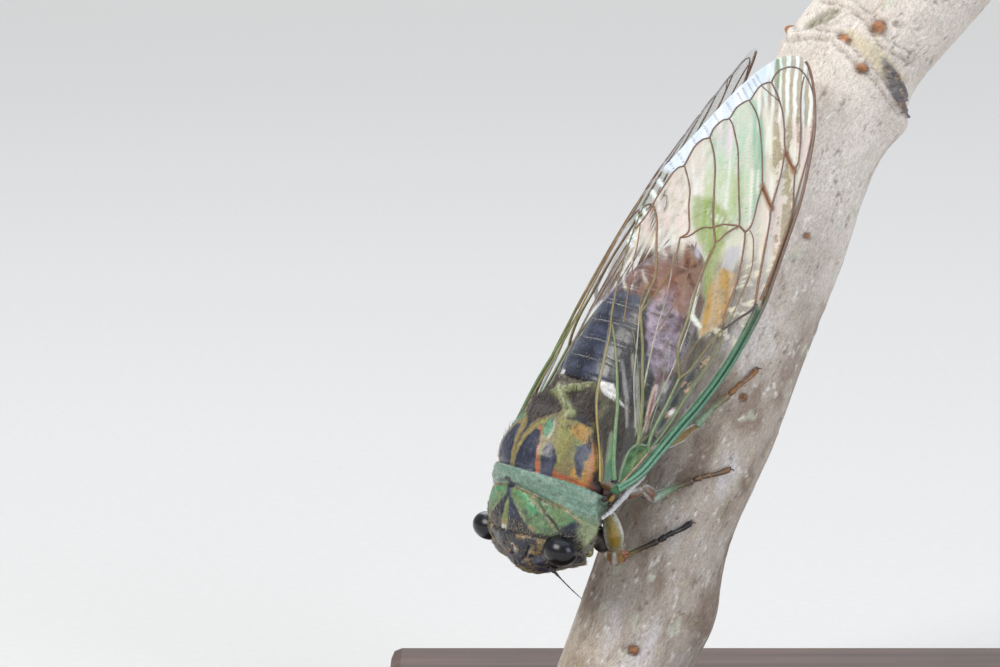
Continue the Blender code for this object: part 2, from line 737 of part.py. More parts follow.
def bark_point(along, degrees, height):
    # A point over the straight part of the bark, in the insect's frame
    down, out, side = perch_axes()
    radius = PERCH_RADIUS + perch_swelling(along, degrees) + height
    angle = math.radians(degrees)
    return (out * -PERCH_DEPTH + down * along
            + radius * (math.cos(angle) * out + math.sin(angle) * side))


def perch_path():
    # Centres and directions of the rings, bending at the knot
    down, out, side = perch_axes()
    toward = math.cos(PERCH_BEND_TOWARD) * out + math.sin(PERCH_BEND_TOWARD) * side
    knot = out * -PERCH_DEPTH + down * PERCH_NODE
    stations = []
    for along in spaced(PERCH_LOWER, PERCH_NODE - PERCH_UPPER_LENGTH, PERCH_RING_SPACING):
        past = PERCH_NODE - along
        turn = PERCH_BEND * min(max((past + NODE_REACH) / (2.0 * NODE_REACH), 0.0), 1.0)
        if past <= 0.0:
            centre = out * -PERCH_DEPTH + down * along
        else:
            centre = knot + past * (-down * math.cos(PERCH_BEND) + toward * math.sin(PERCH_BEND))
        direction = -down * math.cos(turn) + toward * math.sin(turn)
        stations.append((along, centre, direction.normalized()))
    return stations


def make_perch(frame):
    _, out, _ = perch_axes()
    rings = []
    for along, centre, direction in perch_path():
        first = (out - direction * out.dot(direction)).normalized()
        second = -direction.cross(first)
        upper = UPPER_SWELLING * min(max((PERCH_NODE - along) / NODE_REACH, 0.0), 1.0)
        ring = []
        for step in range(PERCH_SIDES):
            degrees = 360.0 * step / PERCH_SIDES
            radius = PERCH_RADIUS + upper + perch_swelling(along, degrees)
            angle = math.radians(degrees)
            ring.append(centre + radius * (math.cos(angle) * first + math.sin(angle) * second))
        rings.append(ring)
    work = bmesh.new()
    work.from_mesh(loft("perch", rings))
    inward = frame.matrix_world.inverted()
    level = inward @ Vector((0.0, 0.0, PERCH_CUT_LEVEL * MM))
    upward = (inward.to_3x3() @ Vector((0.0, 0.0, 1.0))).normalized()
    cut = bmesh.ops.bisect_plane(work, geom=work.verts[:] + work.edges[:] + work.faces[:],
                                 dist=0.001 * MM, plane_co=level, plane_no=upward, clear_inner=True)
    rim = [item for item in cut["geom_cut"] if isinstance(item, bmesh.types.BMEdge)]
    bmesh.ops.contextual_create(work, geom=rim)
    add_part("perch", finish_mesh(work, "perch"), "bark", parent=frame)


# Legs

def make_leg(name, sizes, label, side, frame):
    x, y = sizes["root"]
    socket, outward = under_point(x, y)
    socket, outward = mirrored(socket, side), mirrored(outward, side)
    knee, ankle, toe = [bark_point(along, degrees * side, height)
                        for along, degrees, height in (sizes["knee"], sizes["ankle"], sizes["toe"])]
    thick, middle, thin = sizes["femur"]
    top = socket + outward * GAP
    bend = socket + outward * COXA_DROP + Vector((0.25, 0.0, 0.0))
    thigh = (knee - bend).normalized()
    shin = (ankle - knee).normalized()
    foot = (toe - ankle).normalized()
    knee_plane = (thigh + shin).normalized()
    ankle_plane = (shin + foot).normalized()
    path = [top, bend, bend.lerp(knee, 0.45), knee - knee_plane * GAP * 0.55]
    femur = tube_mesh("femur", path, (thick, thick, middle, thin), LEG_SIDES, outward, knee_plane)
    add_part(f"{name}_femur_{label}", femur, "leg", parent=frame)
    wide, narrow = sizes["tibia"]
    path = [knee + knee_plane * GAP * 0.55, knee.lerp(ankle, 0.18), knee.lerp(ankle, 0.8),
            ankle - ankle_plane * GAP * 0.55]
    tibia = tube_mesh("tibia", path, (thin, wide, narrow, narrow), LEG_SIDES, knee_plane,
                      ankle_plane)
    add_part(f"{name}_tibia_{label}", tibia, "leg", parent=frame)
    path = [ankle + ankle_plane * GAP * 0.55, ankle.lerp(toe, 0.55), toe]
    tarsus = tube_mesh("tarsus", path, TARSUS_RADII, LEG_SIDES, ankle_plane)
    add_part(f"{name}_tarsus_{label}", tarsus, "foot", parent=frame)


# Stand

def make_stand():
    width, depth, height = BASE_SIZE
    bpy.ops.mesh.primitive_cube_add(size=1.0, location=(0.0, 0.0, height / 2 * MM))
    base = bpy.context.object
    base.name = "stand_base"
    base.data.transform(Matrix.Diagonal((width * MM, depth * MM, height * MM, 1.0)))
    bevel = base.modifiers.new("rounded edges", "BEVEL")
    bevel.width = BASE_EDGE * MM
    bevel.segments = 2
    bevel.limit_method = "NONE"
    adopt(base, "dark wood")
    foot = rod_foot()
    bottom, top = height + GAP, PERCH_CUT_LEVEL - GAP
    bpy.ops.mesh.primitive_cylinder_add(vertices=24, radius=ROD_RADIUS * MM,
                                        depth=(top - bottom) * MM,
                                        location=(foot.x, foot.y, (top + bottom) / 2 * MM))
    rod = bpy.context.object
    rod.name = "stand_rod"
    adopt(rod, "steel")


def rod_foot():
    # The middle of the branch's sawn lower end, in the world
    down, out, _ = perch_axes()
    world = body_matrix()
    start = world @ (out * -PERCH_DEPTH * MM)
    lead = world.to_3x3() @ down
    return start + lead * ((PERCH_CUT_LEVEL * MM - start.z) / lead.z)


def adopt(part, finish):
    for group in list(part.users_collection):
        group.objects.unlink(part)
    PARTS.objects.link(part)
    part.data.materials.append(material(finish))
    part.data.shade_smooth()
    part.data.set_sharp_from_angle(angle=math.radians(35.0))


clear_scene()
PARTS = new_collection("cicada")
CUTTERS = new_collection("cutters")
FRAME = new_empty("body frame", PARTS, body_matrix())
make_head(FRAME)
make_thorax(FRAME)
make_abdomen(FRAME)
make_feelers(FRAME)
make_wings(FRAME)
for leg_name, leg_sizes in LEGS.items():
    for side_name, side_sign in SIDES:
        make_leg(leg_name, leg_sizes, side_name, side_sign, FRAME)
make_perch(FRAME)
make_stand()
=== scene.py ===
# A cicada at life size, head down on a cut length of branch, on a plain display base.
# Shapes are worked out in millimetres in the insect's own frame: +X forward, +Y to its left, +Z up
# through its back. They are turned to metres in the world when a mesh is made.
import math
import bpy
import numpy as np
from mathutils import Euler, Matrix, Vector


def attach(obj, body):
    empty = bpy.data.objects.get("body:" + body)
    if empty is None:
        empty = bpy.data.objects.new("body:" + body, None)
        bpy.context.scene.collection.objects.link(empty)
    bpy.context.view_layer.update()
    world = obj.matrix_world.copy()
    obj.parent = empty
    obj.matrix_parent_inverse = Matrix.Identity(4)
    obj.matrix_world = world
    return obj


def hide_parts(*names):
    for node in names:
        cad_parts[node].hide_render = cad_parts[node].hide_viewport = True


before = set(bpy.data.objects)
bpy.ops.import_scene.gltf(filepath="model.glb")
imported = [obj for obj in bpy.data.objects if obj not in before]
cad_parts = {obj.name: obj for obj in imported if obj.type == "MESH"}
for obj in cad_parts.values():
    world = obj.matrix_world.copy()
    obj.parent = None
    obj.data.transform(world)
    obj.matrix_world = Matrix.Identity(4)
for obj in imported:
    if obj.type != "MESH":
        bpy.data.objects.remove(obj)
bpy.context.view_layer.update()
print("frame loaded:", len(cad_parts), "nodes")


# Frames and numbers

insect = {
    "middle": (-12.0, -7.8, 27.5),          # of the insect's frame, in the world
    "forward": (-0.451, -0.279, -0.849),
    "left": (0.631, -0.771, -0.083),
}
mm = 0.001
sides = {"Left": 1.0, "Right": -1.0}
arcUnit = 12.0                              # degrees round the body that count as 1 mm across in marks
skins = {}                                  # the bodies that carry a pile, by the name of their piece


def unit(vectors):
    vectors = np.asarray(vectors, float)
    return vectors / np.maximum(np.linalg.norm(vectors, axis=-1, keepdims=True), 1e-12)


def insectAxes():
    forward = unit(insect["forward"])
    left = np.array(insect["left"])
    left = unit(left - forward * left.dot(forward))
    return np.array([forward, left, np.cross(forward, left)])


axes = insectAxes()
middle = np.array(insect["middle"])


def toWorld(points):
    return (np.asarray(points) @ axes + middle) * mm


def ease(value, low, high):
    t = np.clip((value - low) / (high - low), 0.0, 1.0)
    return t * t * (3.0 - 2.0 * t)


def bump(value, centre, reach):
    return np.exp(-((value - centre) / reach) ** 2)


def tableCurve(table, places):
    # smooth curves through the columns of a table, which never overshoot a step
    table = np.array(sorted(table), float)
    x, values = table[:, 0], table[:, 1:]
    step = np.diff(x)[:, None]
    slope = np.diff(values, axis=0) / step
    product = slope[:-1] * slope[1:]
    total = np.where(product > 0.0, slope[:-1] + slope[1:], 1.0)
    middleSlopes = np.where(product > 0.0, 2.0 * product / total, 0.0)
    tangents = np.vstack([slope[:1], middleSlopes, slope[-1:]])
    places = np.asarray(places, float)
    k = np.clip(np.searchsorted(x, places) - 1, 0, len(x) - 2)
    t = np.clip((places - x[k]) / step[k, 0], 0.0, 1.0)[:, None]
    return ((2 * t ** 3 - 3 * t ** 2 + 1) * values[k]
            + (t ** 3 - 2 * t ** 2 + t) * tangents[k] * step[k]
            + (3 * t ** 2 - 2 * t ** 3) * values[k + 1]
            + (t ** 3 - t ** 2) * tangents[k + 1] * step[k])


def smoothPath(points, spacing):
    # a curve through the points at a near even spacing
    knots = np.array(points, float)
    padded = np.vstack([knots[:1], knots, knots[-1:]])
    rows = []
    for k in range(len(knots) - 1):
        p0, p1, p2, p3 = padded[k:k + 4]
        steps = max(1, int(round(np.linalg.norm(p2 - p1) / spacing)))
        t = (np.arange(steps) / steps)[:, None]
        rows.append(0.5 * (2 * p1 + (p2 - p0) * t + (2 * p0 - 5 * p1 + 4 * p2 - p3) * t ** 2
                           + (3 * p1 - p0 - 3 * p2 + p3) * t ** 3))
    return np.vstack(rows + [knots[-1:]])


def cloud(points, grain, seed=0):
    # soft noise from -1 to 1 whose lumps are about a grain across
    p = np.asarray(points, float) / np.asarray(grain, float) + seed * 17.37
    base = np.floor(p).astype(np.int64)
    t = p - base
    t = t * t * (3.0 - 2.0 * t)
    total = 0.0
    for dx in (0, 1):
        for dy in (0, 1):
            for dz in (0, 1):
                h = (base[..., 0] + dx) * 374761393 + (base[..., 1] + dy) * 668265263
                h = (h + (base[..., 2] + dz) * 1274126177) & 0x7FFFFFFF
                h = ((h ^ (h >> 13)) * 1274126177) & 0x7FFFFFFF
                value = ((h ^ (h >> 16)) & 0xFFFF) / 32767.5 - 1.0
                weight = ((t[..., 0] if dx else 1 - t[..., 0]) * (t[..., 1] if dy else 1 - t[..., 1])
                          * (t[..., 2] if dz else 1 - t[..., 2]))
                total = total + value * weight
    return total


def rough(points, grain, seed=0, octaves=3):
    return sum(cloud(points, np.asarray(grain, float) / 2 ** k, seed + k) / 2 ** k
               for k in range(octaves)) / 1.6


def shaken(points, size, grain, seed):
    # points moved by noise, so that the edges of marks waver
    return points + size * np.stack([cloud(points, grain, seed + k) for k in range(3)], -1)


def lineDistance(x, y, path):
    # distance to a run of points, and how far along the run the nearest place is, 0 to 1
    path = np.asarray(path, float)
    lengths = np.linalg.norm(np.diff(path[:, :2], axis=0), axis=1)
    starts = np.concatenate([[0.0], np.cumsum(lengths)])
    best = np.full(np.shape(x), 1e9)
    along = np.zeros(np.shape(x))
    for k in range(len(path) - 1):
        ax, ay = path[k, 0], path[k, 1]
        dx, dy = path[k + 1, 0] - ax, path[k + 1, 1] - ay
        t = np.clip(((x - ax) * dx + (y - ay) * dy) / max(dx * dx + dy * dy, 1e-12), 0.0, 1.0)
        distance = np.hypot(x - ax - t * dx, y - ay - t * dy)
        nearer = distance < best
        best = np.where(nearer, distance, best)
        along = np.where(nearer, (starts[k] + t * lengths[k]) / max(starts[-1], 1e-9), along)
    return best, along


def stroke(x, y, path, soft=0.08):
    # mask of a brush stroke: each point of the path is (x, y, half width)
    distance, along = lineDistance(x, y, path)
    path = np.asarray(path, float)
    lengths = np.concatenate([[0.0], np.cumsum(np.linalg.norm(np.diff(path[:, :2], axis=0), axis=1))])
    width = np.interp(along, lengths / max(lengths[-1], 1e-9), path[:, 2])
    return 1.0 - ease(distance - width, -soft, soft)


def patch(x, y, corners, soft=0.1):
    # mask of a filled outline with a soft edge
    corners = np.asarray(corners, float)
    closed = np.vstack([corners, corners[:1]])
    distance, _ = lineDistance(x, y, closed)
    within = np.zeros(np.shape(x), bool)
    for (ax, ay), (bx, by) in zip(closed[:-1], closed[1:]):
        crosses = (ay > y) != (by > y)
        at = ax + (y - ay) / np.where(by == ay, 1e-9, by - ay) * (bx - ax)
        within ^= crosses & (x < at)
    return 1.0 - ease(np.where(within, -distance, distance), -soft, soft)


def spot(x, y, centre, radii, turn=0.0, soft=0.12):
    c, s = math.cos(math.radians(turn)), math.sin(math.radians(turn))
    dx, dy = x - centre[0], y - centre[1]
    reach = np.hypot((c * dx + s * dy) / radii[0], (c * dy - s * dx) / radii[1])
    return 1.0 - ease((reach - 1.0) * min(radii), -soft, soft)


# Colours: hex values are sRGB, shaders and attributes are linear

def linearColour(code):
    values = np.array([int(code[k:k + 2], 16) / 255.0 for k in (1, 3, 5)])
    return np.where(values <= 0.04045, values / 12.92, ((values + 0.055) / 1.055) ** 2.4)


def rgba(code):
    # the same for a node's colour, which has an opacity too
    return (*linearColour(code), 1.0)


def coat(code, count):
    return np.tile(linearColour(code), (count, 1))


def brush(colours, code, mask):
    # lays a colour over the colours, in place
    colours += (linearColour(code) - colours) * np.asarray(mask)[:, None]
    return colours


# Meshes

def gridBody(grid):
    # closed skin over rings of points, each end shut by a fan; along and around run 0 to 1
    rows, columns = grid.shape[:2]
    points = grid.reshape(-1, 3)
    row, column = np.meshgrid(np.arange(rows - 1), np.arange(columns), indexing="ij")
    after = (column + 1) % columns
    quads = np.stack([row * columns + column, row * columns + after,
                      (row + 1) * columns + after, (row + 1) * columns + column], -1).reshape(-1, 4)
    along = np.repeat(np.linspace(0.0, 1.0, rows), columns)
    around = np.tile(np.arange(columns) / columns, rows)
    points = np.vstack([points, grid[0].mean(0), grid[-1].mean(0)])
    along, around = np.append(along, (0.0, 1.0)), np.append(around, (0.25, 0.25))
    ring = np.arange(columns)
    last = ring + (rows - 1) * columns
    triangles = np.vstack([
        np.stack([np.roll(ring, -1), ring, np.full(columns, len(points) - 2)], -1),
        np.stack([last, np.roll(last, -1), np.full(columns, len(points) - 1)], -1)])
    return facingOut({"points": points, "quads": quads, "triangles": triangles,
                      "along": along, "around": around})


def facingOut(body):
    p = body["points"]
    q, t = body["quads"], body["triangles"]
    solid = np.vstack([q[:, [0, 1, 2]], q[:, [0, 2, 3]], t])
    a, b, c = p[solid[:, 0]], p[solid[:, 1]], p[solid[:, 2]]
    if np.einsum("ij,ij->i", a - p[0], np.cross(b - p[0], c - p[0])).sum() < 0.0:
        body["quads"] = q[:, ::-1]
        body["triangles"] = t[:, ::-1]
    return body


def joined(bodies):
    # one dictionary for several closed bodies
    total = {"points": [], "quads": [], "triangles": []}
    extras = [key for key in bodies[0] if key not in total]
    total.update({key: [] for key in extras})
    offset = 0
    for body in bodies:
        total["points"].append(body["points"])
        total["quads"].append(np.asarray(body["quads"]).reshape(-1, 4) + offset)
        total["triangles"].append(np.asarray(body["triangles"]).reshape(-1, 3) + offset)
        for key in extras:
            total[key].append(body[key])
        offset += len(body["points"])
    return {key: np.concatenate(value) for key, value in total.items()}


def addPiece(name, body, finish, replaced=()):
    # the mesh of a body as a piece that rides on the root; paint and other arrays go in as attributes
    skins[name] = body
    points = toWorld(body["points"])
    mesh = bpy.data.meshes.new(name)
    faces = body["quads"].tolist() + body["triangles"].tolist()
    mesh.from_pydata(points.tolist(), [], faces)
    if "paint" in body:
        layer = mesh.attributes.new("paint", "FLOAT_COLOR", "POINT")
        layer.data.foreach_set("color", np.hstack([body["paint"], np.ones((len(points), 1))]).ravel())
    for key in ("shine", "cover"):
        if key in body:
            layer = mesh.attributes.new(key, "FLOAT", "POINT")
            layer.data.foreach_set("value", np.asarray(body[key], float))
    if "place" in body:
        layer = mesh.attributes.new("place", "FLOAT_VECTOR", "POINT")
        layer.data.foreach_set("vector", np.asarray(body["place"], float).ravel())
    mesh.update()
    return addObject(name, mesh, finish, replaced)


def addObject(name, mesh, finish, replaced=()):
    mesh.shade_smooth()
    mesh.materials.clear()
    mesh.materials.append(finish)
    piece = bpy.data.objects.new(name, mesh)
    bpy.context.scene.collection.objects.link(piece)
    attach(piece, "root")
    if replaced:
        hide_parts(*replaced)
    return piece


def gridNormals(grid):
    # outward directions of a grid of rings
    across = np.roll(grid, -1, 1) - np.roll(grid, 1, 1)
    down = np.gradient(grid, axis=0)
    normals = unit(np.cross(across, down))
    outward = grid - grid.mean(1, keepdims=True)
    if np.einsum("ijk,ijk->ij", normals, outward).sum() < 0.0:
        normals = -normals
    return normals


def tubeGrid(path, widths, columns, depths=None, reference=(0.12, 1.0, 0.2)):
    # rings round a path; widths and depths are half sizes along two steady directions
    path = np.asarray(path, float)
    along = unit(np.gradient(path, axis=0))
    reference = unit(reference)
    first = unit(reference - along * (along @ reference)[:, None])
    second = np.cross(along, first)
    widths = np.asarray(widths, float)[:, None, None]
    depths = widths if depths is None else np.asarray(depths, float)[:, None, None]
    angle = 2.0 * np.pi * np.arange(columns) / columns
    return (path[:, None] + first[:, None] * np.cos(angle)[None, :, None] * widths
            + second[:, None] * np.sin(angle)[None, :, None] * depths)


def roundedEnds(count, sharp=0.12):
    # how a closed tube narrows to its two ends, 0 to 1 along it
    t = np.linspace(0.0, 1.0, count)
    start = np.sqrt(np.clip(1.0 - (1.0 - np.clip(t / sharp, 0, 1)) ** 2, 0.0, 1.0))
    end = np.sqrt(np.clip(1.0 - (1.0 - np.clip((1 - t) / sharp, 0, 1)) ** 2, 0.0, 1.0))
    return np.maximum(start * end, 0.03)


# Shader nodes

def addNode(tree, kind, settings=None, links=None):
    # one node, its settings, and what each of its inputs takes: a value or another node's output
    made = tree.nodes.new(kind)
    for key, value in (settings or {}).items():
        setattr(made, key, value)
    connect(tree, made, links or {})
    return made


def connect(tree, node, links):
    # each input takes a value, another node's first output, or an output given by itself
    for key, value in links.items():
        if isinstance(value, bpy.types.Node):
            value = value.outputs[0]
        if isinstance(value, bpy.types.NodeSocket):
            tree.links.new(value, node.inputs[key])
        else:
            node.inputs[key].default_value = value


def newMaterial(name):
    material = bpy.data.materials.new(name)
    material.use_nodes = True
    return material, material.node_tree, material.node_tree.nodes["Principled BSDF"]


def insectPlace(tree):
    # Object coordinates turned into the insect's frame, in millimetres
    place = addNode(tree, "ShaderNodeTexCoord")
    turn = Matrix([list(row) for row in axes]).transposed().to_euler()
    return addNode(tree, "ShaderNodeMapping", {"vector_type": "TEXTURE"}, {
        "Vector": place.outputs["Object"], "Location": Vector(middle * mm),
        "Rotation": turn, "Scale": (mm, mm, mm)}).outputs["Vector"]


# Insect shell finish: the painted colours of each piece under a thin clear gloss

def shellMaterial(name, grain, pits, roughnessLow, roughnessHigh, coatWeight=0.25, sheen=0.12):
    # grain is the size in mm of the mottling, pits that of the fine dents that break up the gloss
    material, tree, shader = newMaterial(name)
    place = insectPlace(tree)
    paint = addNode(tree, "ShaderNodeAttribute", {"attribute_name": "paint"})
    shine = addNode(tree, "ShaderNodeAttribute", {"attribute_name": "shine"})
    mottle = addNode(tree, "ShaderNodeTexNoise", {}, {
        "Vector": place, "Scale": 1.0 / grain, "Detail": 6.0, "Roughness": 0.6})
    shade = addNode(tree, "ShaderNodeMapRange", {}, {
        "Value": mottle, "From Min": 0.3, "From Max": 0.7, "To Min": 0.72, "To Max": 1.25})
    colour = addNode(tree, "ShaderNodeVectorMath", {"operation": "SCALE"}, {0: paint, "Scale": shade})
    dents = addNode(tree, "ShaderNodeTexVoronoi", {"feature": "SMOOTH_F1"}, {
        "Vector": place, "Scale": 1.0 / pits, "Smoothness": 0.6})
    fine = addNode(tree, "ShaderNodeTexNoise", {}, {
        "Vector": place, "Scale": 1.4 / pits, "Detail": 5.0, "Roughness": 0.7})
    speck = addNode(tree, "ShaderNodeMapRange", {}, {
        "Value": fine, "From Min": 0.32, "From Max": 0.62, "To Min": 0.55, "To Max": 1.12})
    grime = addNode(tree, "ShaderNodeMapRange", {}, {
        "Value": dents, "From Min": 0.05, "From Max": 0.40, "To Min": 0.72, "To Max": 1.05})
    darkening = addNode(tree, "ShaderNodeMath", {"operation": "MULTIPLY"}, {0: speck, 1: grime})
    toned = addNode(tree, "ShaderNodeVectorMath", {"operation": "SCALE"}, {0: colour, "Scale": darkening})
    relief = addNode(tree, "ShaderNodeMath", {"operation": "ADD"}, {0: dents, 1: fine})
    bumpNode = addNode(tree, "ShaderNodeBump", {}, {
        "Height": relief, "Strength": 0.6, "Distance": pits * 0.16 * mm})
    roughness = addNode(tree, "ShaderNodeMapRange", {}, {
        "Value": shine.outputs["Fac"], "From Min": 0.0, "From Max": 1.0,
        "To Min": roughnessHigh, "To Max": roughnessLow})
    connect(tree, shader, {"Base Color": toned, "Roughness": roughness, "Normal": bumpNode, "IOR": 1.56,
        "Coat Weight": coatWeight, "Sheen Weight": sheen, "Sheen Roughness": 0.4,
        "Sheen Tint": rgba("#c9d3f0"), "Coat Roughness": 0.2})
    return material


thoraxChitin = shellMaterial("thorax chitin", 0.35, 0.14, 0.24, 0.62)
headChitin = shellMaterial("head chitin", 0.30, 0.10, 0.22, 0.65)
abdomenChitin = shellMaterial("abdomen chitin", 0.30, 0.12, 0.20, 0.70, 0.30, 0.35)
legChitin = shellMaterial("leg chitin", 0.22, 0.10, 0.22, 0.60)


# Sections of the body, as in the solids: place, half width, top, bottom, squareness

def sectionRing(place, sizes, columns):
    halfWidth, top, bottom, squareness = sizes
    angle = 2.0 * np.pi * np.arange(columns) / columns
    c, s = np.cos(angle), np.sin(angle)
    y = halfWidth * np.sign(c) * np.abs(c) ** (2.0 / squareness)
    z = np.where(s >= 0.0, top, -bottom) * np.sign(s) * np.abs(s) ** (2.0 / squareness)
    return np.stack([np.full(columns, place), y, z], -1)


def sectionGrid(table, places, columns):
    sizes = tableCurve(table, places)
    return np.array([sectionRing(place, row, columns) for place, row in zip(places, sizes)])


def collarLine(y):
    # where along the body the collar's rear edge lies; the collar sweeps back toward its sides
    return thorax["collarEdge"] - thorax["collarSweep"] * (y + thorax["sweepLean"]) ** 2


def sweptBack(grid):
    # the front of the thorax and the head bend back toward their sides
    x, y = grid[..., 0], grid[..., 1]
    share = np.clip((x - thorax["collarRear"]) / 4.5, 0.0, 1.0)
    lean = thorax["sweepLean"] * (1.0 - ease(x, 5.0, 8.0))
    collar = thorax["collarSweep"] * ease(x, 2.8, 4.6) * (1.0 - ease(x, 5.5, 8.5)) * (y + lean) ** 2
    grid[..., 0] = x - np.maximum(collar, 0.035 * share * y ** 2)
    return grid


def spread(knots, gaps):
    # places along the body, closer together where detail asks for it
    rows = []
    for (start, end), gap in zip(zip(knots, knots[1:]), gaps):
        rows.append(np.linspace(start, end, max(2, int(abs(end - start) / gap)), endpoint=False))
    return np.concatenate(rows + [[knots[-1]]])


# Thorax

thorax = {
    "sections": ((9.62, 4.70, 3.10, -4.00, 1.95), (9.45, 5.15, 3.55, -4.2, 1.95),
        (8.00, 5.95, 4.25, -4.3, 1.85), (6.50, 6.25, 4.95, -4.4, 1.80),
        (6.15, 6.30, 5.15, -4.4, 1.80), (5.85, 6.35, 5.60, -4.4, 1.80),
        (4.95, 6.20, 6.05, -4.5, 1.85), (4.78, 6.05, 5.95, -4.5, 1.90),
        (4.62, 5.62, 5.80, -4.5, 2.05), (4.40, 5.68, 5.98, -4.5, 2.10),
        (2.80, 5.75, 6.45, -4.6, 2.20), (0.00, 5.25, 6.10, -4.6, 2.20),
        (-3.00, 4.55, 4.90, -4.6, 2.10), (-4.40, 4.40, 4.15, -4.7, 2.10),
        (-4.75, 4.10, 3.70, -4.4, 2.10)),
    "collarRear": 4.95, "collarFront": 6.12, "collarEdge": 4.76, "collarSweep": 0.024,
    "columns": 340,
    "crossCentre": (-2.75, 0.0), "crossFront": (-1.25, 2.95), "crossRear": (-4.35, 2.20),
    "midline": -0.35,                       # the markings lean a little to the insect's right
    "sweepLean": 0.7,                       # and so does the collar's curve
    "overhang": ((3.7, 1.5), (4.6, 1.35), (5.3, 0.80), (5.9, 0.20), (6.8, 0.0), (7.6, -0.1), (9.6, -0.4)),
}
fissures = (                                # pronotum grooves: x, distance from the midline, half width
    ((9.2, 3.3, 0.08), (8.7, 2.9, 0.12), (8.2, 2.1, 0.12), (7.4, 1.2, 0.08)),
    ((8.0, 4.95, 0.12), (7.6, 4.5, 0.14), (7.2, 3.95, 0.14), (6.75, 3.1, 0.12), (6.4, 2.2, 0.06)),
)


backMarks = {                               # x, distance from the midline, and strokes' half width
    "emerald": ((6.45, 0.9, 0.14), (6.7, 2.1, 0.28), (7.4, 3.0, 0.2)),
    "tanFront": ((9.2, 3.5, 0.22), (8.7, 2.9, 0.18), (8.1, 2.0, 0.10), (7.5, 1.3, 0.03)),
    "tanMiddle": ((8.2, 4.7, 0.10), (7.5, 4.1, 0.07), (6.7, 2.7, 0.08), (6.35, 2.6, 0.22)),
    "tanSide": ((6.1, 4.6, 0.10), (6.2, 5.4, 0.12), (6.7, 6.1, 0.14), (7.2, 6.2, 0.10)),
    "crack": ((8.05, 5.0, 0.09), (7.6, 4.5, 0.11), (7.2, 3.95, 0.09), (6.8, 3.2, 0.05)),
    "wedge": ((6.85, -0.2), (6.95, 0.25), (7.15, 0.62), (7.8, 1.35), (8.4, 2.1), (9.0, 2.9),
        (9.5, 2.9), (9.9, 1.4), (9.6, 0.55), (9.2, 0.50), (8.1, 0.34), (7.35, 0.22), (7.1, -0.2)),
    "neck": ((6.15, 0.0, 0.55), (6.5, 0.0, 0.30), (6.9, 0.0, 0.34)),
    "corner": ((8.7, 4.6), (8.5, 5.9), (7.5, 6.0), (6.7, 6.0), (6.9, 5.6), (7.6, 5.1)),
    "stripe": ((9.6, 0.0, 0.30), (8.6, 0.0, 0.32), (7.6, 0.0, 0.24), (7.1, 0.0, 0.04)),
    "amberInner": ((-0.25, 3.6), (-0.8, 3.8), (-0.85, 4.25), (-0.44, 4.7), (0.1, 4.9), (0.7, 4.8),
        (0.6, 4.2), (0.2, 3.7)),
    "amberEdge": ((0.0, 4.75), (1.0, 5.05), (2.6, 5.2), (3.2, 4.9), (4.0, 4.9), (4.1, 5.9),
        (3.0, 6.1), (0.0, 5.3)),
    "ember": ((0.3, 4.95, 0.05), (2.1, 5.62, 0.07), (3.4, 5.85, 0.16), (3.9, 5.3, 0.14)),
    "rust": ((4.35, 3.2, 0.12), (4.10, 4.1, 0.24), (3.92, 4.7, 0.18), (3.70, 5.2, 0.10)),
    "moss": ((-1.3, 2.3), (-0.6, 2.2), (0.4, 2.8), (2.6, 3.6), (3.4, 4.2), (1.0, 4.2), (-0.7, 3.1)),
    "leaf": ((0.5, 1.55), (-0.2, 1.8), (0.1, 2.2), (1.15, 2.6), (1.6, 2.25)),
    "frost": ((-0.4, 1.95, 0.08), (0.2, 2.3, 0.07), (0.8, 2.6, 0.08), (1.5, 2.62, 0.12),
        (1.7, 2.6, 0.05)),
    "yellow": ((4.4, 0.12, 0.02), (3.0, 0.30, 0.06), (1.6, 0.52, 0.09), (0.9, 0.80, 0.14),
        (0.45, 1.15, 0.16), (0.15, 1.5, 0.14)),
    "rim": ((4.65, 2.66, 0.16), (3.6, 2.66, 0.12), (2.9, 2.42, 0.08), (2.0, 2.05, 0.07),
        (1.2, 1.65, 0.08), (0.9, 1.35, 0.13)),
    "inner": ((4.95, 0.30), (4.1, 0.26), (2.9, 0.52), (1.9, 0.78), (1.15, 1.05), (1.15, 1.62),
        (2.2, 2.18), (3.4, 2.50), (4.95, 2.52)),
    "outer": ((2.2, 2.74), (1.7, 3.00), (2.2, 3.62), (3.1, 4.05), (3.7, 3.9), (4.1, 3.75),
        (4.9, 3.85), (4.9, 2.86), (3.5, 2.86)),
    "lateral": ((0.25, 4.92), (0.7, 4.74), (1.2, 4.58), (2.1, 4.85), (2.9, 5.10), (3.4, 5.30),
        (3.15, 5.46), (2.1, 5.36), (1.1, 5.20)),
    "slit": ((3.6, 0.0, 0.01), (2.2, 0.0, 0.07), (1.3, 0.0, 0.15), (0.8, 0.0, 0.30)),
    "sootBack": ((0.85, -0.3), (0.75, 0.25), (0.3, 0.6), (-0.3, 1.45), (-1.0, 2.1), (-1.65, 1.85),
        (-2.05, 1.3), (-2.3, 0.3), (-3.0, -0.9), (-3.1, -2.2), (-1.6, -2.5), (-0.1, -1.75),
        (0.4, -0.7)),
    "sootSide": ((-2.1, 1.5), (-3.3, 0.75), (-4.2, 0.9), (-4.2, 2.2), (-3.4, 3.6), (-1.6, 4.2),
        (-1.15, 4.1), (-1.35, 3.2), (-1.7, 2.3)),
    "comma": ((-0.8, 2.95, 0.10), (-1.15, 3.5, 0.28), (-0.9, 4.25, 0.14)),
    "wax": ((-4.95, 5.0), (-4.5, 4.8), (-4.0, 4.1), (-3.85, 3.0), (-4.1, 2.7), (-4.6, 3.2),
        (-5.2, 3.9)),
    "waxTail": ((-4.1, 2.9, 0.20), (-3.9, 2.1, 0.10), (-3.8, 1.3, 0.04)),
}


